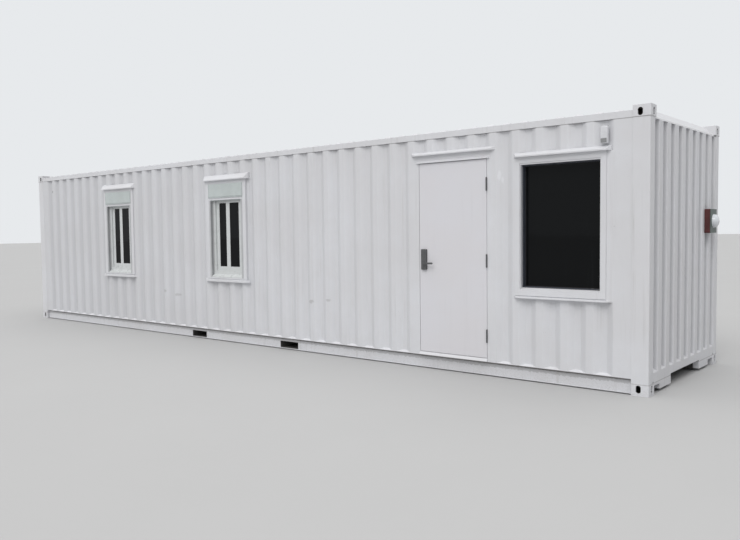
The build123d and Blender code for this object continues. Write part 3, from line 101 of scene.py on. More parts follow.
class CabinColours(bpy.types.PropertyGroup):
    """Colours of the finishes"""
    wall: tint("Wall paint", "White paint of the container's steel", (0.655, 0.66, 0.685))
    door: tint("Door paint", "White paint of the door leaf", (0.66, 0.655, 0.685))
    grime: tint("Grime", "Dust and rain streaks on the paint", (0.30, 0.29, 0.26))
    # Also the colour of painted shade: lines under rails and flanges, and shallow dents
    scuff_and_shade: tint("Scuffs", "Scraped and stained places on the paint", (0.16, 0.15, 0.14))
    rust: tint("Rust", "Rust under the sill of the blind end", (0.11, 0.035, 0.02))
    profile: tint("Window profile", "White plastic of the sliding windows", (0.60, 0.62, 0.62))
    shutter: tint("Shutter enamel", "Grey-green enamel of the shutter boxes", (0.50, 0.545, 0.54))
    guide: tint("Guide rails", "Pale enamel of the shutters' guide rails", (0.46, 0.47, 0.48))
    # The panes are opaque: this near-black colour is painted shade of the room behind them
    glass: tint("Glass", "Dark glass of the windows", (0.004, 0.0045, 0.005))
    steel: tint("Door steel", "Grey steel of the lock, the lever and the hinges", (0.12, 0.12, 0.125))
    dark_frame: tint("Dark frame", "Frame of the picture window", (0.045, 0.05, 0.065))
    underside: tint("Underside", "Coating of the floor frame", (0.05, 0.048, 0.046))
    board: tint("Wall board", "Lining boards of the room", (0.60, 0.58, 0.53))
    deck: tint("Floor deck", "Plywood deck of the room", (0.24, 0.165, 0.10))
    red: tint("Utility case", "Dark red of the utility box's case", (0.085, 0.018, 0.017))
    green: tint("Utility cover", "Grey-green of the utility box's cover", (0.085, 0.11, 0.10))
    dome: tint("Dome", "Pale dome of the utility box", (0.66, 0.69, 0.72))
    rubber: tint("Rubber", "Gaskets and seals", (0.018, 0.018, 0.019))


class CabinStage(bpy.types.PropertyGroup):
    """Light and floor of the stage"""
    sky: FloatProperty(name="Sky", description="Strength of the light from all round", default=0.51, min=0)
    key: FloatProperty(name="Key", description="Strength of the large soft key light", default=1.05, min=0)
    key_angle: FloatProperty(
        name="Key size", description="Apparent width of the key light", subtype="ANGLE",
        default=math.radians(35),
    )
    floor: tint("Floor", "Pale studio floor", (0.46, 0.46, 0.46))
    backdrop: tint("Backdrop", "Backdrop behind the cabin", (0.80, 0.82, 0.84))


# Mesh helpers

# Corners of a CAD mesh that are nearer to each other than this, in metres, are one
MERGE = 0.00002
# A bend of a CAD mesh below this many degrees counts as flat
FLAT = 0.6
# The room that an edge needs beside it to be rounded, in widths of its rounding, from first try to last
ROOM_TRIES = (0, 2.2, 5, 12, 30, math.inf)


def node_triangles(name):
    """A CAD node's triangles in a bmesh, joined at their corners."""
    piece = frame["nodes"][name]
    bm = bmesh.new()
    bm.from_mesh(piece.data)
    bmesh.ops.transform(bm, matrix=piece.matrix_world, verts=bm.verts)
    bmesh.ops.remove_doubles(bm, verts=bm.verts, dist=MERGE)
    return bm


def node_faces(name):
    """A CAD node's mesh with its triangles merged back into flat faces."""
    bm = node_triangles(name)
    bmesh.ops.dissolve_limit(
        bm, angle_limit=math.radians(FLAT), use_dissolve_boundaries=False, verts=bm.verts, edges=bm.edges,
        delimit={"NORMAL"},
    )
    return bm


def solid_boxes(name):
    """Lowest and highest corner of each separate solid of a CAD node, from left to right."""
    bm = node_triangles(name)
    left = set(bm.verts)
    boxes = []
    while left:
        queue = [left.pop()]
        seen = []
        while queue:
            vert = queue.pop()
            seen.append(vert.co.copy())
            for edge in vert.link_edges:
                other = edge.other_vert(vert)
                if other in left:
                    left.remove(other)
                    queue.append(other)
        low = Vector(min(point[k] for point in seen) for k in range(3))
        high = Vector(max(point[k] for point in seen) for k in range(3))
        boxes.append((low, high))
    bm.free()
    return sorted(boxes, key=lambda box: [round(place, 4) for corner in box for place in corner])


def spans_of(name, gap=0.02):
    """Where the solids of a CAD node lie along X, from left to right, with close neighbours as one."""
    spans = []
    for low, high in solid_boxes(name):
        if spans and low.x <= spans[-1][1] + gap:
            spans[-1][1] = max(spans[-1][1], high.x)
        else:
            spans.append([low.x, high.x])
    return spans


def edges_between(bm, low, high, axis=None):
    """Edges whose faces meet at an angle between low and high degrees, if wanted only along one axis."""
    found = []
    for edge in bm.edges:
        if len(edge.link_faces) == 2 and math.radians(low) < edge.calc_face_angle(0) < math.radians(high):
            along = (edge.verts[1].co - edge.verts[0].co).normalized()
            if axis is None or abs(along[axis]) > 0.99:
                found.append(edge)
    return found


def round_edges(bm, edges, width, segments=2):
    """Round off edges with a true arc."""
    if edges:
        bmesh.ops.bevel(
            bm, geom=edges, offset=width, offset_type="OFFSET", segments=segments, profile=0.5,
            affect="EDGES", material=-1, clamp_overlap=False,
        )


def is_sound(bm):
    """True if every face is covered by its own triangles once and no more."""
    covered = {}
    for triangle in bm.calc_loop_triangles():
        a, b, c = (loop.vert.co for loop in triangle)
        face = triangle[0].face
        covered[face] = covered.get(face, 0) + (b - a).cross(c - a).length / 2
    return all(abs(area - face.calc_area()) < max(2e-5, 0.002 * area) for face, area in covered.items())


def room_beside(edge):
    """The distance from an edge to the nearest other corner of its two faces."""
    start, stop = (vert.co for vert in edge.verts)
    along = stop - start
    nearest = math.inf
    for face in edge.link_faces:
        for vert in face.verts:
            if vert not in edge.verts:
                share = min(1, max(0, (vert.co - start).dot(along) / along.length_squared))
                nearest = min(nearest, (vert.co - start - along * share).length)
    return nearest


def rounded_node(node, width, segments, low, high=180, axis=None):
    """A CAD node's mesh with its hard edges rounded where its faces have room, or else its bare triangles."""
    for room in ROOM_TRIES:
        bm = node_faces(node)
        edges = [edge for edge in edges_between(bm, low, high, axis) if room_beside(edge) > room * width]
        round_edges(bm, edges, width, segments)
        if is_sound(bm):
            return bm
        bm.free()
    return node_triangles(node)


def block(bm, low, high, round_by=0.0, segments=2):
    """A block between two corners with rounded edges."""
    low = Vector(low)
    high = Vector(high)
    made = bmesh.ops.create_cube(bm, size=1)["verts"]
    place = Matrix.Translation((low + high) / 2) @ Matrix.Diagonal((*(high - low), 1))
    bmesh.ops.transform(bm, matrix=place, verts=made)
    if round_by:
        edges = {edge for vert in made for edge in vert.link_edges}
        round_edges(bm, list(edges), round_by, segments)


def rod(bm, centre, axis, radius, depth, segments=24, tip=None, round_by=0.0):
    """A round bar or cone about an axis, with its ends rounded."""
    turn = Vector((0, 0, 1)).rotation_difference(Vector(axis)).to_matrix().to_4x4()
    made = bmesh.ops.create_cone(
        bm, cap_ends=True, segments=segments, radius1=radius, radius2=radius if tip is None else tip,
        depth=depth, matrix=Matrix.Translation(centre) @ turn,
    )["verts"]
    if round_by:
        rims = [e for v in made for e in v.link_edges if len(e.link_faces) == 2 and e.calc_face_angle(0) > 1]
        round_edges(bm, list(set(rims)), round_by)


def ring_blocks(bm, low, high, band, axis, round_by=0.0):
    """Four strips round a rectangle that lies across one axis, such as a gasket."""
    first, second = (k for k in range(3) if k != axis)
    for side in (0, 1):
        for across, inset in ((first, 0), (second, band)):
            ends = [list(low), list(high)]
            ends[0][first] += inset
            ends[1][first] -= inset
            ends[1 - side][across] = ends[side][across] + (band, -band)[side]
            block(bm, *ends, round_by)


def finish_piece(bm, name, body, finish, *nodes, smooth=32, inside=None):
    """Turn a bmesh into a piece that rides on a body and has a finish, and hide the CAD nodes that it takes the
    place of.
    """
    mesh = bpy.data.meshes.new(name)
    bm.to_mesh(mesh)
    bm.free()
    piece = bpy.data.objects.new(name, mesh)
    bpy.context.scene.collection.objects.link(piece)
    mesh.materials.append(FINISHES[finish]())
    if inside:
        mesh.materials.append(FINISHES[inside]())
    mesh.shade_smooth()
    mesh.set_sharp_from_angle(angle=math.radians(smooth))
    weighted = piece.modifiers.new("flat_faces_stay_flat", "WEIGHTED_NORMAL")
    weighted.keep_sharp = True
    bpy.context.view_layer.update()
    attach(piece, body)
    if nodes:
        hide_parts(*nodes)


def soft_copy(node, width, segments=2, body="cabin", low=30, finish=None):
    """A CAD node's own shape with its hard edges rounded, in its own finish or another."""
    bm = rounded_node(node, width, segments, low)
    finish_piece(bm, f"{node}_finished", body, finish or SLOTS[node], node)


def repaint(finish, *nodes):
    """Give CAD nodes another finish than that of their slot."""
    for name in nodes:
        frame["nodes"][name].data.materials[0] = FINISHES[finish]()


# Shader helpers: each adds its nodes to the tree of the socket that it is given

def add_node(tree, kind, sockets=(), **settings):
    """Add a shader node with plain settings, its sockets filled with values or joined to other nodes."""
    made = tree.nodes.new(kind)
    for key, value in settings.items():
        setattr(made, key, value)
    for key, value in dict(sockets).items():
        if isinstance(value, bpy.types.NodeSocket):
            tree.links.new(value, made.inputs[key])
        else:
            made.inputs[key].default_value = value
    return made


def mixed(factor, first, second):
    """A blend of two colours."""
    sockets = {0: factor, 6: first, 7: second}
    return add_node(factor.id_data, "ShaderNodeMix", sockets, data_type="RGBA").outputs[2]


def math_of(operation, first, second=0.0, clamp=False):
    """One sum on varying values."""
    sockets = {0: first, 1: second}
    made = add_node(first.id_data, "ShaderNodeMath", sockets, operation=operation, use_clamp=clamp)
    return made.outputs[0]


def times(first, second):
    """One varying value times another."""
    return math_of("MULTIPLY", first, second)


def gated(mask, gate, amount):
    """A mask let through by another and by an amount, held between 0 and 1."""
    return math_of("MULTIPLY", times(mask, gate), amount, clamp=True)


def vector_math(operation, first, second):
    """One sum on vectors."""
    sockets = {0: first, 1: second}
    return add_node(first.id_data, "ShaderNodeVectorMath", sockets, operation=operation).outputs[0]


def parts_of(vector):
    """The three parts of a vector."""
    return add_node(vector.id_data, "ShaderNodeSeparateXYZ", {0: vector}).outputs


def ranged(value, from_low, from_high, to_low=0.0, to_high=1.0):
    """A value stretched from one range to another and held inside it."""
    sockets = {0: value, 1: from_low, 2: from_high, 3: to_low, 4: to_high}
    return add_node(value.id_data, "ShaderNodeMapRange", sockets, interpolation_type="SMOOTHSTEP").outputs[0]


def noise(vector, scale, detail=3.0, rough=0.55):
    """Plain noise on a vector."""
    sockets = {"Vector": vector, "Scale": scale, "Detail": detail, "Roughness": rough}
    return add_node(vector.id_data, "ShaderNodeTexNoise", sockets).outputs[0]


def stretched(vector, scale):
    """A vector scaled along its axes, for streaks and grain."""
    return add_node(vector.id_data, "ShaderNodeMapping", {"Vector": vector, "Scale": scale}).outputs[0]


def effect(name, output="Mask", **inputs):
    """Make a function of a group's inputs into one that hands out the shader node group, built once."""
    def keep(build):
        def group():
            if name in bpy.data.node_groups:
                return bpy.data.node_groups[name]
            tree = bpy.data.node_groups.new(name, "ShaderNodeTree")
            tree.interface.new_socket("Vector", in_out="INPUT", socket_type="NodeSocketVector")
            for label, default in inputs.items():
                kind = "NodeSocketVector" if isinstance(default, tuple) else "NodeSocketFloat"
                label = label.replace("_", " ")
                tree.interface.new_socket(label, in_out="INPUT", socket_type=kind).default_value = default
            tree.interface.new_socket(output, in_out="OUTPUT", socket_type="NodeSocketFloat")
            entry = tree.nodes.new("NodeGroupInput").outputs
            leave = tree.nodes.new("NodeGroupOutput")
            tree.links.new(build(entry), leave.inputs[0])
            return tree
        return group
    return keep


def placed(group, vector, **values):
    """One use of an effect with its own values."""
    made = add_node(vector.id_data, "ShaderNodeGroup", node_tree=group())
    vector.id_data.links.new(vector, made.inputs["Vector"])
    for key, value in values.items():
        made.inputs[key.replace("_", " ")].default_value = value
    return made.outputs[0]


# Effects that several finishes use

@effect("Sheet Height", "Height", Dent_Scale=2.2, Dent_Depth=0.006, Peel_Scale=260.0, Peel_Depth=0.00006)
def sheet_height(entry):
    """Height of slack sheet with soft dents and the fine grain of sprayed paint, in metres."""
    dents = times(noise(entry["Vector"], entry["Dent Scale"], 2.0, 0.5), entry["Dent Depth"])
    peel = times(noise(entry["Vector"], entry["Peel Scale"], 1.0), entry["Peel Depth"])
    return math_of("ADD", dents, peel)


@effect("Patchy Tone", Scale=1.3)
def patchy_tone(entry):
    """Slow changes of tone over a painted or moulded surface."""
    return ranged(noise(entry["Vector"], entry["Scale"], 4.0, 0.6), 0.32, 0.68)


@effect("Rain Streaks", Amount=0.5)
def rain_streaks(entry):
    """Narrow upright streaks left by rain, patchy along their length."""
    streak = ranged(noise(stretched(entry["Vector"], (22, 22, 0.7)), 1.0, 3.0, 0.6), 0.52, 0.78)
    gate = ranged(noise(entry["Vector"], 1.1, 2.0), 0.42, 0.66)
    return gated(streak, gate, entry["Amount"])


@effect("Ground Splash", Height=0.22, Amount=0.6)
def ground_splash(entry):
    """Dirt splashed up from the ground, fading with height."""
    height = parts_of(entry["Vector"])[2]
    ragged = times(noise(entry["Vector"], 9.0, 5.0, 0.7), entry["Height"])
    level = math_of("SUBTRACT", math_of("ADD", ragged, entry["Height"]), height)
    spots = ranged(noise(entry["Vector"], 75.0, 3.0, 0.7), 0.42, 0.72)
    return gated(ranged(level, 0.0, 0.55), spots, entry["Amount"])


@effect("Level Line", Level=0.118, Width=0.006, Amount=0.7)
def level_line(entry):
    """A thin dark line at one height: dirt where a casting meets a post, or painted shade under a rail or flange.
    """
    away = math_of("ABSOLUTE", math_of("SUBTRACT", parts_of(entry["Vector"])[2], entry["Level"]))
    shake = times(noise(entry["Vector"], 40.0, 2.0), entry["Width"])
    line = ranged(math_of("SUBTRACT", away, shake), 0.0, 0.004, 1.0, 0.0)
    return math_of("MULTIPLY", line, entry["Amount"], clamp=True)


@effect("Side Recesses", Amount=0.72)
def side_recess_shade(entry):
    """Painted shade in the recesses of the side sheets, more towards the far end."""
    place = parts_of(entry["Vector"])
    depth = ranged(math_of("ABSOLUTE", place[1]), 1.206, 1.18, 0.4, 1.0)
    far = ranged(place[0], 3.5, -5.0, 0.12, 1.0)
    return gated(depth, far, entry["Amount"])


@effect("End Recesses", Amount=0.8)
def end_recess_shade(entry):
    """Painted shade in the recesses of the end sheet."""
    depth = ranged(parts_of(entry["Vector"])[0], 6.083, 6.06)
    return math_of("MULTIPLY", depth, entry["Amount"], clamp=True)


@effect("Soft Mark", Centre=(0.0, 0.0, 0.0), Reach=(0.1, 0.1, 0.1), Amount=0.5)
def soft_mark(entry):
    """One scuffed, stained or painted-shade place with a ragged edge."""
    tree = entry["Vector"].id_data
    shake = add_node(tree, "ShaderNodeTexNoise", {"Vector": entry["Vector"], "Scale": 18.0, "Detail": 4.0})
    offset = vector_math("SUBTRACT", shake.outputs[1], (0.5, 0.5, 0.5))
    nudge = add_node(tree, "ShaderNodeVectorMath", {0: offset, "Scale": 0.05}, operation="SCALE").outputs[0]
    local = vector_math("SUBTRACT", vector_math("ADD", entry["Vector"], nudge), entry["Centre"])
    shaped = vector_math("DIVIDE", local, entry["Reach"])
    away = add_node(tree, "ShaderNodeVectorMath", {0: shaped}, operation="LENGTH").outputs[1]
    return math_of("MULTIPLY", ranged(away, 0.45, 1.0, 1.0, 0.0), entry["Amount"], clamp=True)


@effect("Small Chips", Scale=60.0, Amount=0.7)
def small_chips(entry):
    """Small chips in the paint, gathered in patches."""
    sockets = {"Vector": entry["Vector"], "Scale": entry["Scale"]}
    cells = add_node(entry["Vector"].id_data, "ShaderNodeTexVoronoi", sockets).outputs[0]
    gate = ranged(noise(entry["Vector"], 3.0, 5.0, 0.7), 0.60, 0.68)
    return gated(ranged(cells, 0.10, 0.20, 1.0, 0.0), gate, entry["Amount"])


@effect("Board Grain")
def board_grain(entry):
    """Long wavy grain along X."""
    return ranged(noise(stretched(entry["Vector"], (1.2, 14.0, 14.0)), 2.0, 6.0, 0.65), 0.3, 0.7)


@effect("Brushed Grain")
def brushed_grain(entry):
    """Fine upright brushing of steel."""
    return noise(stretched(entry["Vector"], (900, 900, 30)), 1.0, 2.0, 0.6)


# Finishes

def shader_base(name):
    """A new material, its main shader and the object's own coordinates."""
    material = bpy.data.materials.new(name)
    material.use_nodes = True
    shader = material.node_tree.nodes["Principled BSDF"]
    vector = material.node_tree.nodes.new("ShaderNodeTexCoord").outputs["Object"]
    return material, shader, vector


def join(shader, colour, roughness=None, height=None):
    """Lead colour, roughness and height to the main shader."""
    tree = shader.id_data
    tree.links.new(colour, shader.inputs["Base Color"])
    if roughness is not None:
        tree.links.new(roughness, shader.inputs["Roughness"])
    if height is not None:
        bump = add_node(tree, "ShaderNodeBump", {"Height": height, "Distance": 1.0, "Strength": 1.0})
        tree.links.new(bump.outputs[0], shader.inputs["Normal"])


def deeper(colour, by, warm=0.0):
    """A darker or paler shade of a colour, a little warmer if wanted."""
    return (colour[0] * by * (1 + warm), colour[1] * by, colour[2] * by * (1 - warm), 1)


def colour_of(name):
    """One of the colour settings."""
    return tuple(getattr(bpy.context.scene.cabin_colours, name))


# Scuffs, stains and the painted shade of shallow dents on the front wall: centre, reach in metres and strength
WALL_MARKS = (
    ((-5.55, -1.21, 2.56), (0.028, 0.1, 0.035), 0.75),
    ((-5.60, -1.21, 2.585), (0.016, 0.1, 0.012), 0.5),
    # Painted shade of four shallow dents low on the wall
    ((-1.89, -1.21, 0.73), (0.08, 0.1, 0.032), 0.26),
    ((-1.53, -1.21, 0.68), (0.10, 0.1, 0.034), 0.26),
    ((1.51, -1.21, 0.72), (0.075, 0.1, 0.036), 0.30),
    ((1.83, -1.21, 0.75), (0.06, 0.1, 0.024), 0.28),
    ((5.712, -1.21, 2.41), (0.017, 0.1, 0.017), 0.8),
    ((5.672, -1.21, 2.448), (0.016, 0.1, 0.011), 0.6),
    ((5.73, -1.21, 1.70), (0.011, 0.1, 0.011), 0.45),
)
# Pale smears on the wall between the door and the picture window
PALE_MARKS = (
    ((4.435, -1.21, 2.29), (0.026, 0.1, 0.075), 0.30),
    ((4.47, -1.21, 2.24), (0.018, 0.1, 0.060), 0.28),
)
# Rust under the sill of the blind end
RUST_MARKS = (
    ((6.0, -0.22, 0.104), (0.25, 0.26, 0.013), 0.60),
    ((6.0, 0.16, 0.106), (0.25, 0.18, 0.011), 0.50),
    ((6.0, 0.40, 0.104), (0.25, 0.07, 0.009), 0.45),
)


def painted_steel(
    name, splash, colour="wall", streaks=0.35, dents=0.005, chips=0.35, rough=0.42, mottle=1.0,
    recess=None, seams_and_shade_lines=(), marks=(), pale=(), rust=(),
):
    """Sprayed paint on slack sheet: uneven tone, rain streaks, splashed dirt, chips and single marks, with painted
    shade in recesses and under rails where asked.
    """
    material, shader, vector = shader_base(name)
    colour = colour_of(colour)
    grime = colour_of("grime")
    scuff_and_shade = colour_of("scuff_and_shade")
    tone = placed(patchy_tone, vector, Scale=0.9)
    base = mixed(tone, deeper(colour, 1 - 0.045 * mottle, 0.008), deeper(colour, 1 + 0.03 * mottle, -0.004))
    fine = placed(patchy_tone, vector, Scale=7.0)
    base = mixed(times(fine, 0.35 * mottle), base, deeper(colour, 0.96, 0.012))
    base = mixed(placed(rain_streaks, vector, Amount=streaks), base, grime)
    dirt = placed(ground_splash, vector, Amount=splash)
    base = mixed(dirt, base, grime)
    # Painted shade in the sheet's recesses, where a finish asks for it
    if recess:
        base = mixed(placed(recess, vector), base, deeper(colour, 0.74))
    # Seams, and painted shade lines under rails and flanges, in the scuff and shade colour
    for level, width, amount in seams_and_shade_lines:
        base = mixed(placed(level_line, vector, Level=level, Width=width, Amount=amount), base, scuff_and_shade)
    for places, stain in ((marks, scuff_and_shade), (pale, deeper(colour, 1.3)), (rust, colour_of("rust"))):
        for centre, reach, amount in places:
            mark = placed(soft_mark, vector, Centre=centre, Reach=reach, Amount=amount)
            base = mixed(mark, base, stain)
    base = mixed(placed(small_chips, vector, Amount=chips), base, scuff_and_shade)
    roughness = ranged(math_of("ADD", tone, dirt), 0.0, 1.4, rough - 0.05, rough + 0.16)
    join(shader, base, roughness, placed(sheet_height, vector, Dent_Depth=dents))
    return material


def moulded(name, colour, rough, grain=0.00005, contrast=0.06, coat=0.0, dust=0.25):
    """Smooth moulded or enamelled surface with a faint change of tone and a fine grain."""
    material, shader, vector = shader_base(name)
    colour = colour_of(colour)
    tone = placed(patchy_tone, vector, Scale=6.0)
    base = mixed(tone, deeper(colour, 1 - contrast), deeper(colour, 1 + contrast / 2))
    base = mixed(placed(rain_streaks, vector, Amount=dust), base, colour_of("grime"))
    height = placed(sheet_height, vector, Dent_Depth=0.0006, Peel_Scale=420.0, Peel_Depth=grain)
    join(shader, base, ranged(tone, 0, 1, rough - 0.04, rough + 0.08), height)
    shader.inputs["Coat Weight"].default_value = coat
    return material


def casting_inside():
    """Near-black paint standing in for the shade in a corner casting's hollow, with rust and dirt."""
    material, shader, vector = shader_base("casting_inside")
    mask = placed(patchy_tone, vector, Scale=22.0)
    base = mixed(mask, (0.010, 0.010, 0.010, 1), (0.022, 0.016, 0.012, 1))
    join(shader, base, ranged(mask, 0, 1, 0.8, 0.95))
    return material


def underside_paint():
    """Dark coating of the floor frame, dusty in places."""
    material, shader, vector = shader_base("underside_paint")
    colour = colour_of("underside")
    mask = placed(patchy_tone, vector, Scale=5.0)
    dust = placed(ground_splash, vector, Amount=0.5)
    base = mixed(dust, mixed(mask, colour, deeper(colour, 1.7)), colour_of("grime"))
    height = placed(sheet_height, vector, Dent_Scale=40.0, Dent_Depth=0.0006)
    join(shader, base, ranged(mask, 0, 1, 0.6, 0.85), height)
    return material


def lining_board():
    """Pale wall board with a faint printed grain."""
    material, shader, vector = shader_base("lining_board")
    colour = colour_of("board")
    grain = placed(board_grain, vector)
    base = mixed(times(grain, 0.5), colour, deeper(colour, 0.9, 0.03))
    base = mixed(times(placed(patchy_tone, vector, Scale=2.0), 0.4), base, deeper(colour, 0.95))
    height = placed(sheet_height, vector, Dent_Scale=1.0, Dent_Depth=0.001, Peel_Depth=0.00004)
    join(shader, base, ranged(grain, 0, 1, 0.45, 0.6), height)
    return material


def floor_deck():
    """Plywood deck with grain and worn lanes."""
    material, shader, vector = shader_base("floor_deck")
    colour = colour_of("deck")
    grain = placed(board_grain, vector)
    wear = placed(patchy_tone, vector, Scale=1.4)
    base = mixed(grain, colour, deeper(colour, 0.6, 0.05))
    base = mixed(times(wear, 0.45), base, deeper(colour, 1.35))
    join(shader, base, ranged(wear, 0, 1, 0.4, 0.65), times(grain, 0.0004))
    return material


def dark_glass():
    """Opaque near-black window glass, painted shade of the room behind it, with a faint film of dust."""
    material, shader, vector = shader_base("dark_glass")
    colour = colour_of("glass")
    film = placed(rain_streaks, vector, Amount=0.5)
    height = placed(sheet_height, vector, Dent_Scale=1.6, Dent_Depth=0.0016, Peel_Depth=0.0)
    join(shader, mixed(film, colour, deeper(colour, 2.2)), ranged(film, 0, 1, 0.03, 0.12), height)
    shader.inputs["Specular IOR Level"].default_value = 0.12
    return material


def grey_steel():
    """Dull grey steel of the door's fittings, finely brushed."""
    material, shader, vector = shader_base("grey_steel")
    colour = colour_of("steel")
    grain = placed(brushed_grain, vector)
    base = mixed(grain, deeper(colour, 0.8), deeper(colour, 1.35))
    base = mixed(times(placed(patchy_tone, vector, Scale=30.0), 0.3), base, deeper(colour, 0.6))
    join(shader, base, ranged(grain, 0.2, 0.8, 0.34, 0.52), times(grain, 0.00003))
    shader.inputs["Metallic"].default_value = 0.55
    return material


def lamp_lens():
    """Smoked lens of the wall light with fine ribs."""
    material, shader, vector = shader_base("lamp_lens")
    sockets = {"Vector": vector, "Scale": 55.0, "Distortion": 0.0}
    wave = add_node(vector.id_data, "ShaderNodeTexWave", sockets, bands_direction="X", wave_type="BANDS")
    ribs = wave.outputs[1]
    base = mixed(ribs, (0.17, 0.172, 0.175, 1), (0.30, 0.303, 0.307, 1))
    join(shader, base, ranged(ribs, 0, 1, 0.12, 0.22), times(ribs, 0.0005))
    shader.inputs["Coat Weight"].default_value = 0.4
    return material


# White paint on steel, with its material's name; a seam or painted shade line is its height, its width and its
# strength
PAINTS = {
    # Corrugated walls and roof, with painted shade in the recesses and a painted shade line under the top rail
    "white_paint": dict(
        # The line at 2.777 is painted shade under the top rail
        name="wall_paint", streaks=0.2, splash=0.2, recess=side_recess_shade, seams_and_shade_lines=((2.777, 0.006, 0.5),),
        marks=WALL_MARKS, pale=PALE_MARKS,
    ),
    # End wall, with painted shade in its recesses
    "end_paint": dict(name="end_paint", splash=0.2, recess=end_recess_shade),
    # Castings, posts, headers and sills, with dirty lines where the castings are welded on
    "frame_paint": dict(
        name="frame_paint", splash=0.4, dents=0.002, chips=0.6,
        seams_and_shade_lines=((0.118, 0.006, 0.4), (2.778, 0.006, 0.45)), rust=RUST_MARKS,
    ),
    # Long rails, dirtier low down, with painted shade on the web under the top flange
    "rail_paint": dict(
        name="rail_paint", splash=0.45, dents=0.002, chips=0.5,
        # Painted shade on the web under the top flange: a dark line and a wider soft band
        seams_and_shade_lines=((0.15, 0.014, 0.8), (0.135, 0.05, 0.3)),
    ),
    # Casings, caps and sills
    "trim_paint": dict(name="trim_paint", streaks=0.2, splash=0.1, dents=0.0012, chips=0.2),
    # Smooth door leaf
    "door_paint": dict(
        name="door_paint", colour="door", streaks=0.1, splash=0.1, dents=0.0012, chips=0.1, rough=0.36,
        mottle=0.25,
    ),
}

# Moulded and enamelled finishes
MOULDED = {
    "window_profile": dict(colour="profile", rough=0.3, grain=0.00002, contrast=0.03, dust=0.1),
    "guide_paint": dict(colour="guide", rough=0.38, grain=0.00004),
    "shutter_paint": dict(colour="shutter", rough=0.38, grain=0.00006),
    "dark_frame": dict(colour="dark_frame", rough=0.42, grain=0.00004, contrast=0.12),
    "red_paint": dict(colour="red", rough=0.5, grain=0.0001, contrast=0.25),
    "green_grey_paint": dict(colour="green", rough=0.45, grain=0.0001, contrast=0.2),
    "dome_cover": dict(colour="dome", rough=0.12, grain=0.0, contrast=0.03, coat=0.6),
    "light_housing": dict(colour="wall", rough=0.3, grain=0.00004),
    "black_rubber": dict(colour="rubber", rough=0.7, contrast=0.15),
}

# What makes the material of each finish, the first time that it is asked for
FINISHES = {
    **{name: cache(partial(painted_steel, **values)) for name, values in PAINTS.items()},
    **{name: cache(partial(moulded, name, **values)) for name, values in MOULDED.items()},
    "casting_inside": cache(casting_inside),
    "underside_paint": cache(underside_paint),
    "lining_board": cache(lining_board),
    "floor_deck": cache(floor_deck),
    "dark_glass": cache(dark_glass),
    "grey_steel": cache(grey_steel),
    "lamp_lens": cache(lamp_lens),
}


# Steps

class CABIN_OT_bare_nodes(bpy.types.Operator):
    """Give every CAD node the finish of its slot"""
    bl_idname = "cabin.bare_nodes"
    bl_label = "Underside, Linings and Panes"

    def execute(self, context):
        for name, piece in frame["nodes"].items():
            piece.data.materials.clear()
            piece.data.materials.append(FINISHES[SLOTS[name]]())
        return {"FINISHED"}


class CABIN_OT_sheets(bpy.types.Operator):
    """Round the folds of the corrugated walls and the roof, and lay the floors of the side walls' recesses"""
    bl_idname = "cabin.sheets"
    bl_label = "Corrugated Sheets"

    def execute(self, context):
        sizes = context.scene.cabin_sizes
        for name in ("front_wall_left", "front_wall_right", "front_wall_over_door", "back_wall"):
            self.fold(name, sizes.wall_fold, 2)
        for name in ("front_wall_left", "front_wall_right", "back_wall"):
            self.recess_floors(name, sizes.recess_rise)
        self.fold("near_end_wall", sizes.end_fold, 2, "end_paint")
        self.fold("roof", sizes.roof_fold, None)
        return {"FINISHED"}

    def fold(self, name, width, axis, finish="white_paint"):
        """Replace one sheet with a copy whose folds are rolled, not creased."""
        bm = rounded_node(name, width, segments=3, low=10, high=80, axis=axis)
        finish_piece(bm, f"{name}_sheet", "cabin", finish, name, smooth=40)

    def recess_floors(self, name, rise):
        """A sloping floor at the foot of each recess of one side sheet."""
        corners = frame["nodes"][name].data.vertices
        low = min(vert.co.z for vert in corners)
        out = {}
        for vert in corners:
            if vert.co.z < low + 0.001:
                x = round(vert.co.x, 4)
                out[x] = max(out.get(x, 0), abs(vert.co.y))
        side = math.copysign(1, corners[0].co.y)
        crest = max(out.values())
        front = side * (crest - 0.004)
        deep = [x for x in sorted(out) if out[x] < crest - 0.02]
        inset = 0.006
        bm = bmesh.new()
        for x1, x2 in zip(deep[::2], deep[1::2]):
            x0 = max(x for x in out if x < x1) + inset
            x3 = min(x for x in out if x > x2) - inset
            back = side * out[x1]
            wedge = [
                (x0, front, low), (x1, back, low), (x2, back, low), (x3, front, low),
                (x1, back, low + rise), (x2, back, low + rise),
            ]
            bmesh.ops.convex_hull(bm, input=[bm.verts.new(point) for point in wedge])
        finish_piece(bm, f"{name}_recess_floors", "cabin", "trim_paint")


# Length, width and wall of a corner casting, and the width of a corner post along Y
CASTING_LENGTH = 0.178
CASTING_WIDTH = 0.162
CASTING_WALL = 0.0095
POST_WIDTH = 0.126


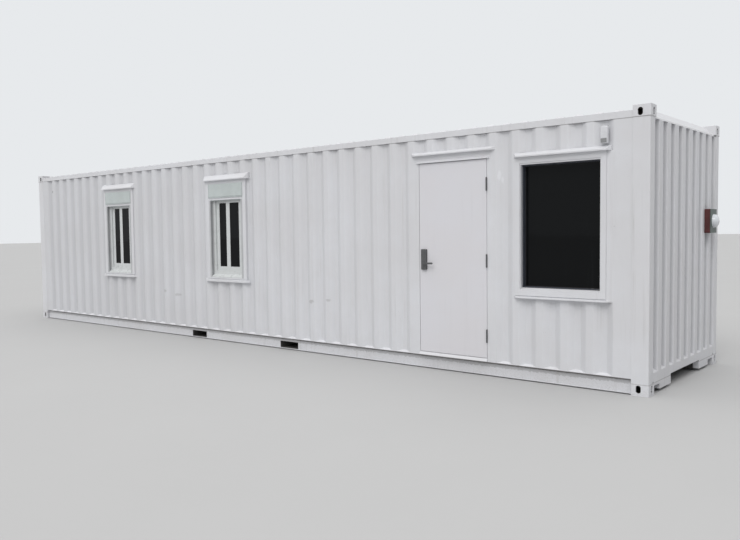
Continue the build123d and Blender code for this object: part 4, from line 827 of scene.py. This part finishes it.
class CABIN_OT_frame(bpy.types.Operator):
    """Round the edges of the steel frame and lay the weld beads at its corner castings"""
    bl_idname = "cabin.frame"
    bl_label = "Steel Frame"

    def execute(self, context):
        sizes = context.scene.cabin_sizes
        for name in ("bottom_corner_castings", "top_corner_castings"):
            self.casting(name, sizes.casting_edge)
        for name in ("corner_posts", "near_end_header", "near_end_sill", "far_end_header", "far_end_sill"):
            soft_copy(name, sizes.frame_edge, finish="frame_paint")
        repaint("rail_paint", "front_bottom_rail", "back_bottom_rail", "top_side_rails")
        repaint("rail_paint", "cargo_door_threshold")
        self.welds(sizes.weld_radius)
        return {"FINISHED"}

    def casting(self, name, edge):
        """Castings with soft edges, and painted shade in a near-black finish where a face looks towards its own
        casting's middle.
        """
        bm = rounded_node(name, edge, segments=3, low=40)
        low, high = (Vector(corner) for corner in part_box(name))
        for face in bm.faces:
            place = face.calc_center_median()
            depth = min(*(place - low), *(high - place))
            centre_x = math.copysign(high.x - CASTING_LENGTH / 2, place.x)
            centre_y = math.copysign(high.y - CASTING_WIDTH / 2, place.y)
            inward = Vector((centre_x, centre_y, (low.z + high.z) / 2)) - place
            # Faces of the hollow get the near-black painted shade finish
            face.material_index = int(depth > CASTING_WALL and inward.dot(face.normal) > 0)
        finish_piece(bm, f"{name}_finished", "cabin", "frame_paint", name, inside="casting_inside")

    def welds(self, radius):
        """A bead of weld all round each post at each casting."""
        low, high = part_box("corner_posts")
        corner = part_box("bottom_corner_castings")[1]
        bm = bmesh.new()
        for x_sign, y_sign, level in product((-1, 1), (-1, 1), (low[2], high[2])):
            x0, x1 = sorted((x_sign * (corner[0] - CASTING_LENGTH), x_sign * high[0]))
            y0, y1 = sorted((y_sign * (corner[1] - POST_WIDTH), y_sign * high[1]))
            for y in (y0, y1):
                rod(bm, ((x0 + x1) / 2, y, level), (1, 0, 0), radius, x1 - x0, 8)
            for x in (x0, x1):
                rod(bm, (x, (y0 + y1) / 2, level), (0, 1, 0), radius, y1 - y0, 8)
        finish_piece(bm, "casting_weld_beads", "cabin", "frame_paint", smooth=60)


class CABIN_OT_trims(bpy.types.Operator):
    """Round the edges of the casings, caps and sills"""
    bl_idname = "cabin.trims"
    bl_label = "Casings and Caps"

    def execute(self, context):
        for name in ("window_surrounds", "picture_window_surround"):
            soft_copy(name, context.scene.cabin_sizes.trim_edge, low=20, finish="trim_paint")
        repaint("trim_paint", "door_surround", "door_frame", "door_threshold")
        return {"FINISHED"}


class CABIN_OT_shutters(bpy.types.Operator):
    """Folded covers of the roller shutters, their guide rails and the end slat of each shutter"""
    bl_idname = "cabin.shutters"
    bl_label = "Roller Shutters"

    def execute(self, context):
        covers = bmesh.new()
        slats = bmesh.new()
        for x0, x1 in spans_of("shutter_boxes"):
            self.cover(covers, x0, x1)
            self.slat(slats, (x0 + x1) / 2)
        finish_piece(covers, "shutter_covers", "cabin", "shutter_paint", "shutter_boxes")
        finish_piece(slats, "shutter_end_slats", "cabin", "shutter_paint")
        soft_copy("shutter_guides", 0.0008, segments=1, finish="guide_paint")
        return {"FINISHED"}

    def cover(self, bm, x0, x1):
        """The folded front of one shutter box, its lower lip, its two end plates and their rivets."""
        low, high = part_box("shutter_boxes")
        plate = 0.012
        front = (x0 + plate, low[1] + 0.002, low[2] + 0.014)
        block(bm, front, (x1 - plate, high[1], high[2] - 0.004), 0.004, 3)
        block(bm, (x0 + 0.002, low[1], low[2]), (x1 - 0.002, high[1], low[2] + 0.012), 0.002)
        for end in (x0, x1 - plate):
            block(bm, (end, low[1], low[2]), (end + plate, high[1], high[2]), 0.003, 3)
            for z in (low[2] + 0.04, high[2] - 0.04):
                rod(bm, (end + plate / 2, low[1] + 0.0004, z), (0, -1, 0), 0.0035, 0.0024, 12, 0.0025)

    def slat(self, bm, centre):
        """The end slat of one rolled shutter, between the tops of its guide rails."""
        low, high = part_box("shutter_guides")
        half = 0.355
        y = low[1] + 0.025
        block(bm, (centre - half, y, high[2] - 0.012), (centre + half, y + 0.008, high[2]), 0.002)


class CABIN_OT_windows(bpy.types.Operator):
    """Profiles, gaskets and handles of the sliding windows, and the liner of the picture window"""
    bl_idname = "cabin.windows"
    bl_label = "Windows"

    def execute(self, context):
        sizes = context.scene.cabin_sizes
        for name in ("window_frames", "window_sashes", "picture_window_frame"):
            soft_copy(name, sizes.fitting_edge)
        proud = 0.0025
        gaskets = bmesh.new()
        for name in ("window_panes", "picture_window_pane"):
            for low, high in solid_boxes(name):
                for y0, y1 in ((low.y - proud, low.y), (high.y, high.y + proud)):
                    ring_blocks(gaskets, (low.x, y0, low.z), (high.x, y1, high.z), sizes.gasket, 1, 0.0008)
        finish_piece(gaskets, "pane_gaskets", "cabin", "black_rubber")
        self.handles()
        return {"FINISHED"}

    def handles(self):
        """A pale pull handle on the inner sash of each sliding window."""
        sashes = sorted(solid_boxes("window_sashes"), key=lambda box: (round(box[0].y, 3), box[0].x))
        inner_half = sashes[len(sashes) // 2:]
        z = 1.70
        bm = bmesh.new()
        for _, high in inner_half:
            x = high.x - 0.033
            y = high.y
            block(bm, (x - 0.012, y, z - 0.05), (x + 0.012, y + 0.004, z + 0.05), 0.0015)
            block(bm, (x - 0.008, y + 0.003, z - 0.012), (x + 0.05, y + 0.018, z + 0.012), 0.004, 3)
        finish_piece(bm, "sash_handles", "cabin", "window_profile")


class CABIN_OT_door(bpy.types.Operator):
    """Door leaf, its seal, hinges, lock with buttons, and lever"""
    bl_idname = "cabin.door"
    bl_label = "Door"

    def execute(self, context):
        sizes = context.scene.cabin_sizes
        soft_copy("door_leaf", 0.002, body="door")
        soft_copy("frame_hinge_leaves", 0.0004, segments=1)
        soft_copy("leaf_hinge_leaves", 0.0004, segments=1, body="door")
        soft_copy("door_lock", sizes.fitting_edge * 2, 3, body="door", low=50)
        soft_copy("door_lever", sizes.fitting_edge * 1.6, 3, body="lever", low=50)
        self.hinge_caps()
        self.lock_face(sizes.button_pitch)
        self.seal()
        return {"FINISHED"}

    def hinge_caps(self):
        """A small dome on each end of each hinge barrel."""
        x = next(joint["pos_m"][0] for joint in frame["joints"] if joint["name"] == "door_swing")
        barrel = 0.009
        bm = bmesh.new()
        for low, high in solid_boxes("frame_hinge_leaves"):
            for z, way in ((low.z, -1), (high.z, 1)):
                rod(bm, (x, low.y + barrel, z + way * 0.001), (0, 0, way), 0.0075, 0.002, 24, 0.005)
        finish_piece(bm, "hinge_caps", "cabin", "grey_steel")

    def lock_face(self, pitch):
        """Two columns of plain buttons, a key cylinder and the screws of the lock, outside and inside."""
        low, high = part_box("door_lock")
        x = (low[0] + high[0]) / 2
        y = low[1]
        cylinder = low[2] + 0.024
        bm = bmesh.new()
        for row, side in product(range(5), (-0.8, 0.8)):
            centre = (x + side * pitch, y - 0.0012, high[2] - 0.022 - row * pitch)
            rod(bm, centre, (0, -1, 0), 0.0062, 0.0036, 20, 0.0054, 0.0004)
        rod(bm, (x, y - 0.0015, cylinder), (0, -1, 0), 0.009, 0.004, 28, 0.0085, 0.0005)
        block(bm, (x - 0.001, y - 0.0042, cylinder - 0.006), (x + 0.001, y - 0.003, cylinder + 0.006))
        for z in (high[2] - 0.009, low[2] + 0.009):
            rod(bm, (x, y - 0.0006, z), (0, -1, 0), 0.0035, 0.002, 16, 0.0028)
        finish_piece(bm, "lock_buttons", "door", "grey_steel")
        inner = bmesh.new()
        for z in (low[2] + 0.04, high[2] - 0.04):
            rod(inner, (x, high[1] + 0.0006, z), (0, 1, 0), 0.0035, 0.002, 16, 0.0028)
        finish_piece(inner, "lock_screws_inside", "door", "grey_steel")

    def seal(self):
        """Black rubber seal on the stop behind the leaf."""
        low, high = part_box("door_leaf")
        y0 = high[1] + 0.0008
        y1 = high[1] + 0.0048
        inside = 0.010
        outside = 0.004
        top = high[2] + 0.003
        bm = bmesh.new()
        for x0, x1 in ((low[0] - outside, low[0] + inside), (high[0] - inside, high[0] + outside)):
            block(bm, (x0, y0, low[2] + 0.001), (x1, y1, top), 0.001)
        block(bm, (low[0] + inside, y0, high[2] - inside), (high[0] - inside, y1, top), 0.001)
        finish_piece(bm, "door_seal", "cabin", "black_rubber")


class CABIN_OT_fittings(bpy.types.Operator):
    """Wall light and utility box"""
    bl_idname = "cabin.fittings"
    bl_label = "Wall Light and Utility Box"

    def execute(self, context):
        soft_copy("wall_light", context.scene.cabin_sizes.fitting_edge, 3)
        soft_copy("wall_light_lens", 0.0008)
        soft_copy("utility_box_case", 0.004, 3, low=50)
        soft_copy("utility_box_cover", 0.0018, 2, low=50)
        self.dome()
        self.cover_details()
        return {"FINISHED"}

    def dome(self):
        """The round dome with a flanged collar, spun about its axis."""
        low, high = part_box("utility_box_dome")
        centre = Vector((low[0], (low[1] + high[1]) / 2, (low[2] + high[2]) / 2))
        radius = (high[2] - low[2]) / 2
        shell = radius - 0.004
        collar = 0.014
        rise = high[0] - low[0] - collar
        points = [(0.0, radius), (0.004, radius), (0.006, radius - 0.003), (collar, shell)]
        steps = 14
        for k in range(1, steps + 1):
            turn = k * math.pi / 2 / steps
            points.append((collar + rise * math.sin(turn), shell * math.cos(turn)))
        bm = bmesh.new()
        verts = [bm.verts.new(centre + Vector((out, 0, away))) for out, away in points]
        edges = [bm.edges.new(pair) for pair in zip(verts, verts[1:])]
        bmesh.ops.spin(
            bm, geom=verts + edges, cent=centre, axis=(1, 0, 0), angle=math.tau, steps=72, use_merge=True,
        )
        bmesh.ops.remove_doubles(bm, verts=bm.verts, dist=0.00005)
        rim = [edge for edge in bm.edges if len(edge.link_faces) == 1]
        bmesh.ops.contextual_create(bm, geom=rim)
        bmesh.ops.recalc_face_normals(bm, faces=bm.faces)
        finish_piece(bm, "utility_dome", "cabin", "dome_cover", "utility_box_dome", smooth=40)

    def cover_details(self):
        """Screws in the corners of the cover and a seam strip between cover and case."""
        low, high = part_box("utility_box_cover")
        bm = bmesh.new()
        for y, z in product((low[1] + 0.018, high[1] - 0.018), (low[2] + 0.018, high[2] - 0.018)):
            rod(bm, (high[0] + 0.0006, y, z), (1, 0, 0), 0.005, 0.0026, 16, 0.004)
        finish_piece(bm, "cover_screws", "cabin", "grey_steel")
        inset = 0.002
        seam = bmesh.new()
        seam_low = (low[0] - 0.003, low[1] + inset, low[2] + inset)
        ring_blocks(seam, seam_low, (low[0] + 0.001, high[1] - inset, high[2] - inset), 0.006, 0)
        finish_piece(seam, "cover_gasket", "cabin", "black_rubber")


class CABIN_OT_cargo_doors(bpy.types.Operator):
    """Closed cargo doors of the far end with their gaskets, lock bars and hinge bolts"""
    bl_idname = "cabin.cargo_doors"
    bl_label = "Cargo Doors"

    def execute(self, context):
        sizes = context.scene.cabin_sizes
        for name in ("cargo_door_leaves", "cargo_door_hinges"):
            soft_copy(name, sizes.frame_edge * 0.7, low=40, finish="frame_paint")
        for name in ("cargo_door_lock_bars", "cargo_door_bar_guides"):
            soft_copy(name, sizes.fitting_edge, 1, low=60, finish="frame_paint")
        proud = 0.0015
        gaskets = bmesh.new()
        for low, high in solid_boxes("cargo_door_leaves"):
            gasket_low = (low.x - 0.003, low.y - proud, low.z - proud)
            ring_blocks(gaskets, gasket_low, (low.x + 0.006, high.y + proud, high.z + proud), 0.018, 0, 0.001)
        finish_piece(gaskets, "cargo_door_gaskets", "cabin", "black_rubber")
        self.bolts(sizes.bolt_radius)
        return {"FINISHED"}

    def bolts(self, radius):
        """Four hexagon heads on each hinge strap."""
        strap = 0.0155
        from_edge = 0.024
        bm = bmesh.new()
        for low, high in solid_boxes("cargo_door_hinges"):
            if high.y - low.y < 0.1:
                continue
            outer = 1 if low.y + high.y > 0 else -1
            inner_y = low.y if outer > 0 else high.y
            for k, z in product((0, 1), (low.z + from_edge, high.z - from_edge)):
                y = inner_y + outer * (0.022 + 0.05 * k)
                rod(bm, (low.x + strap - 0.003, y, z), (-1, 0, 0), radius, 0.006, 6)
        finish_piece(bm, "hinge_bolts", "cabin", "grey_steel")


class CABIN_OT_room(bpy.types.Operator):
    """Skirting boards and joint strips of the room"""
    bl_idname = "cabin.room"
    bl_label = "Room"

    def execute(self, context):
        sizes = context.scene.cabin_sizes
        floor_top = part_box("floor")[1][2]
        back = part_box("back_lining")[0][1]
        room_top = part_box("ceiling")[0][2]
        (left, _, _), (door_left, front, _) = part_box("front_lining_left")
        (door_right, _, _), (right, _, _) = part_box("front_lining_right")
        top = floor_top + sizes.skirting_height
        thick = 0.012
        skirting = bmesh.new()
        for low, high in (
            ((left + thick, back - thick), (right - thick, back)),
            ((left + thick, front), (door_left, front + thick)),
            ((door_right, front), (right - thick, front + thick)),
            ((left, front), (left + thick, back)),
            ((right - thick, front), (right, back)),
        ):
            block(skirting, (*low, floor_top), (*high, top), 0.003)
        finish_piece(skirting, "skirting_boards", "cabin", "window_profile")
        half = 0.02
        proud = 0.004
        openings = self.openings()
        strips = bmesh.new()
        for k in range(1, int((right - left) / sizes.batten_pitch) + 1):
            x0 = left + k * sizes.batten_pitch - half
            x1 = x0 + 2 * half
            block(strips, (x0, back - proud, top), (x1, back, room_top), 0.0012)
            if not any(start < x1 and x0 < stop for start, stop in openings):
                block(strips, (x0, front, top), (x1, front + proud, room_top), 0.0012)
            block(strips, (x0, front, room_top - proud), (x1, back, room_top), 0.0012)
        finish_piece(strips, "lining_joint_strips", "cabin", "lining_board")
        return {"FINISHED"}

    def openings(self):
        """Where the doorway and the windows lie along the front wall, with a margin."""
        spans = spans_of("window_frames")
        for name in ("picture_window_frame", "door_frame"):
            low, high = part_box(name)
            spans.append((low[0], high[0]))
        return [(start - 0.03, stop + 0.03) for start, stop in spans]


# The photograph's camera: place, turn in degrees, and focal length and centre of view in pixels of its frame
CAMERA_PLACE = (8.596, -8.714, 1.697)
CAMERA_TURN = (-41.076, -3.177, -0.829)
CAMERA_FOCAL = 743.8
CAMERA_CENTRE = (340.23, 272.13)
PHOTO_WIDTH = 740
PHOTO_HEIGHT = 540
SENSOR = 36.0


class CABIN_OT_stage(bpy.types.Operator):
    """Floor, backdrop, soft light and the camera of the photograph"""
    bl_idname = "cabin.stage"
    bl_label = "Stage"

    def execute(self, context):
        settings = context.scene.cabin_stage
        self.floor(settings)
        self.sky(context, settings)
        self.key(context, settings)
        self.camera(context)
        context.scene.view_settings.view_transform = "Standard"
        return {"FINISHED"}

    def floor(self, settings):
        """A wide pale floor that keeps the cabin's shadow."""
        bm = bmesh.new()
        bmesh.ops.create_grid(bm, x_segments=1, y_segments=1, size=150)
        mesh = bpy.data.meshes.new("studio_floor")
        bm.to_mesh(mesh)
        bm.free()
        floor = bpy.data.objects.new("studio_floor", mesh)
        bpy.context.scene.collection.objects.link(floor)
        material, shader, vector = shader_base("studio_floor")
        colour = tuple(settings.floor)
        join(shader, mixed(placed(patchy_tone, vector, Scale=0.4), deeper(colour, 0.985), colour))
        shader.inputs["Roughness"].default_value = 0.85
        shader.inputs["Specular IOR Level"].default_value = 0.2
        mesh.materials.append(material)

    def sky(self, context, settings):
        """Light from all round, brighter overhead, and a plain pale backdrop where the camera looks."""
        world = bpy.data.worlds.new("studio")
        context.scene.world = world
        world.use_nodes = True
        tree = world.node_tree
        light = tree.nodes["Background"]
        way = parts_of(tree.nodes.new("ShaderNodeTexCoord").outputs["Generated"])
        horizon = mixed(ranged(way[1], 0.1, -0.9), (0.10, 0.104, 0.11, 1), (1.55, 1.57, 1.60, 1))
        horizon = mixed(ranged(way[0], 0.25, -0.8), horizon, (0.12, 0.122, 0.125, 1))
        overhead = ranged(way[2], 0.3, 0.95)
        tree.links.new(mixed(overhead, horizon, (3.2, 3.2, 3.2, 1)), light.inputs["Color"])
        light.inputs["Strength"].default_value = settings.sky
        backdrop = add_node(
            tree, "ShaderNodeBackground", {"Color": tuple(settings.backdrop), "Strength": 1.0},
        )
        path = tree.nodes.new("ShaderNodeLightPath").outputs
        seen = math_of("MAXIMUM", path["Is Camera Ray"], path["Is Glossy Ray"])
        seen = math_of("MAXIMUM", seen, path["Is Transmission Ray"])
        mix = add_node(tree, "ShaderNodeMixShader", {0: seen, 1: light.outputs[0], 2: backdrop.outputs[0]})
        tree.links.new(mix.outputs[0], tree.nodes["World Output"].inputs["Surface"])

    def key(self, context, settings):
        """One large soft light from the front and above."""
        lamp = bpy.data.lights.new("key", "SUN")
        lamp.energy = settings.key
        lamp.angle = settings.key_angle
        lamp.color = (1.0, 0.992, 0.98)
        key = bpy.data.objects.new("key", lamp)
        towards = Vector((0.12, -0.72, 0.68))
        key.rotation_euler = towards.to_track_quat("Z", "Y").to_euler()
        key.location = towards * 20
        context.scene.collection.objects.link(key)

    def camera(self, context):
        """The camera fitted to the photograph."""
        yaw, pitch, roll = (math.radians(angle) for angle in CAMERA_TURN)
        ahead = Vector((math.sin(yaw) * math.cos(pitch), math.cos(yaw) * math.cos(pitch), math.sin(pitch)))
        level = Vector((math.cos(yaw), -math.sin(yaw), 0))
        up = level.cross(ahead)
        right = level * math.cos(roll) + up * math.sin(roll)
        top = up * math.cos(roll) - level * math.sin(roll)
        turn = Matrix((right, top, -ahead)).transposed().to_4x4()
        lens = bpy.data.cameras.new("photo_camera")
        lens.sensor_width = SENSOR
        lens.lens = CAMERA_FOCAL / PHOTO_WIDTH * SENSOR
        lens.shift_x = (PHOTO_WIDTH / 2 - CAMERA_CENTRE[0]) / PHOTO_WIDTH
        lens.shift_y = (CAMERA_CENTRE[1] - PHOTO_HEIGHT / 2) / PHOTO_WIDTH
        camera = bpy.data.objects.new("photo_camera", lens)
        camera.matrix_world = Matrix.Translation(CAMERA_PLACE) @ turn
        context.scene.collection.objects.link(camera)
        context.scene.camera = camera


class CABIN_PT_panel(bpy.types.Panel):
    """The cabin's steps and settings"""
    bl_label = "Container Cabin"
    bl_idname = "CABIN_PT_panel"
    bl_space_type = "VIEW_3D"
    bl_region_type = "UI"
    bl_category = "Cabin"

    def draw(self, context):
        column = self.layout.column()
        for step in STEPS:
            column.operator(step.bl_idname)
        scene = context.scene
        for settings in (scene.cabin_sizes, scene.cabin_colours, scene.cabin_stage):
            column.separator()
            for key in settings.bl_rna.properties.keys():
                if key not in ("rna_type", "name"):
                    column.prop(settings, key)


STEPS = (
    CABIN_OT_stage,
    CABIN_OT_bare_nodes,
    CABIN_OT_sheets,
    CABIN_OT_frame,
    CABIN_OT_trims,
    CABIN_OT_shutters,
    CABIN_OT_windows,
    CABIN_OT_door,
    CABIN_OT_fittings,
    CABIN_OT_cargo_doors,
    CABIN_OT_room,
)
CLASSES = (CabinSizes, CabinColours, CabinStage, *STEPS, CABIN_PT_panel)


def register():
    """Register the settings, the steps and the panel."""
    for cls in CLASSES:
        bpy.utils.register_class(cls)
    bpy.types.Scene.cabin_sizes = PointerProperty(type=CabinSizes)
    bpy.types.Scene.cabin_colours = PointerProperty(type=CabinColours)
    bpy.types.Scene.cabin_stage = PointerProperty(type=CabinStage)


def unregister():
    """Take everything off again."""
    del bpy.types.Scene.cabin_stage
    del bpy.types.Scene.cabin_colours
    del bpy.types.Scene.cabin_sizes
    for cls in reversed(CLASSES):
        bpy.utils.unregister_class(cls)


def main():
    """Make every piece in order."""
    register()
    for step in STEPS:
        group, name = step.bl_idname.split(".")
        getattr(getattr(bpy.ops, group), name)()


if __name__ == "__main__":
    main()
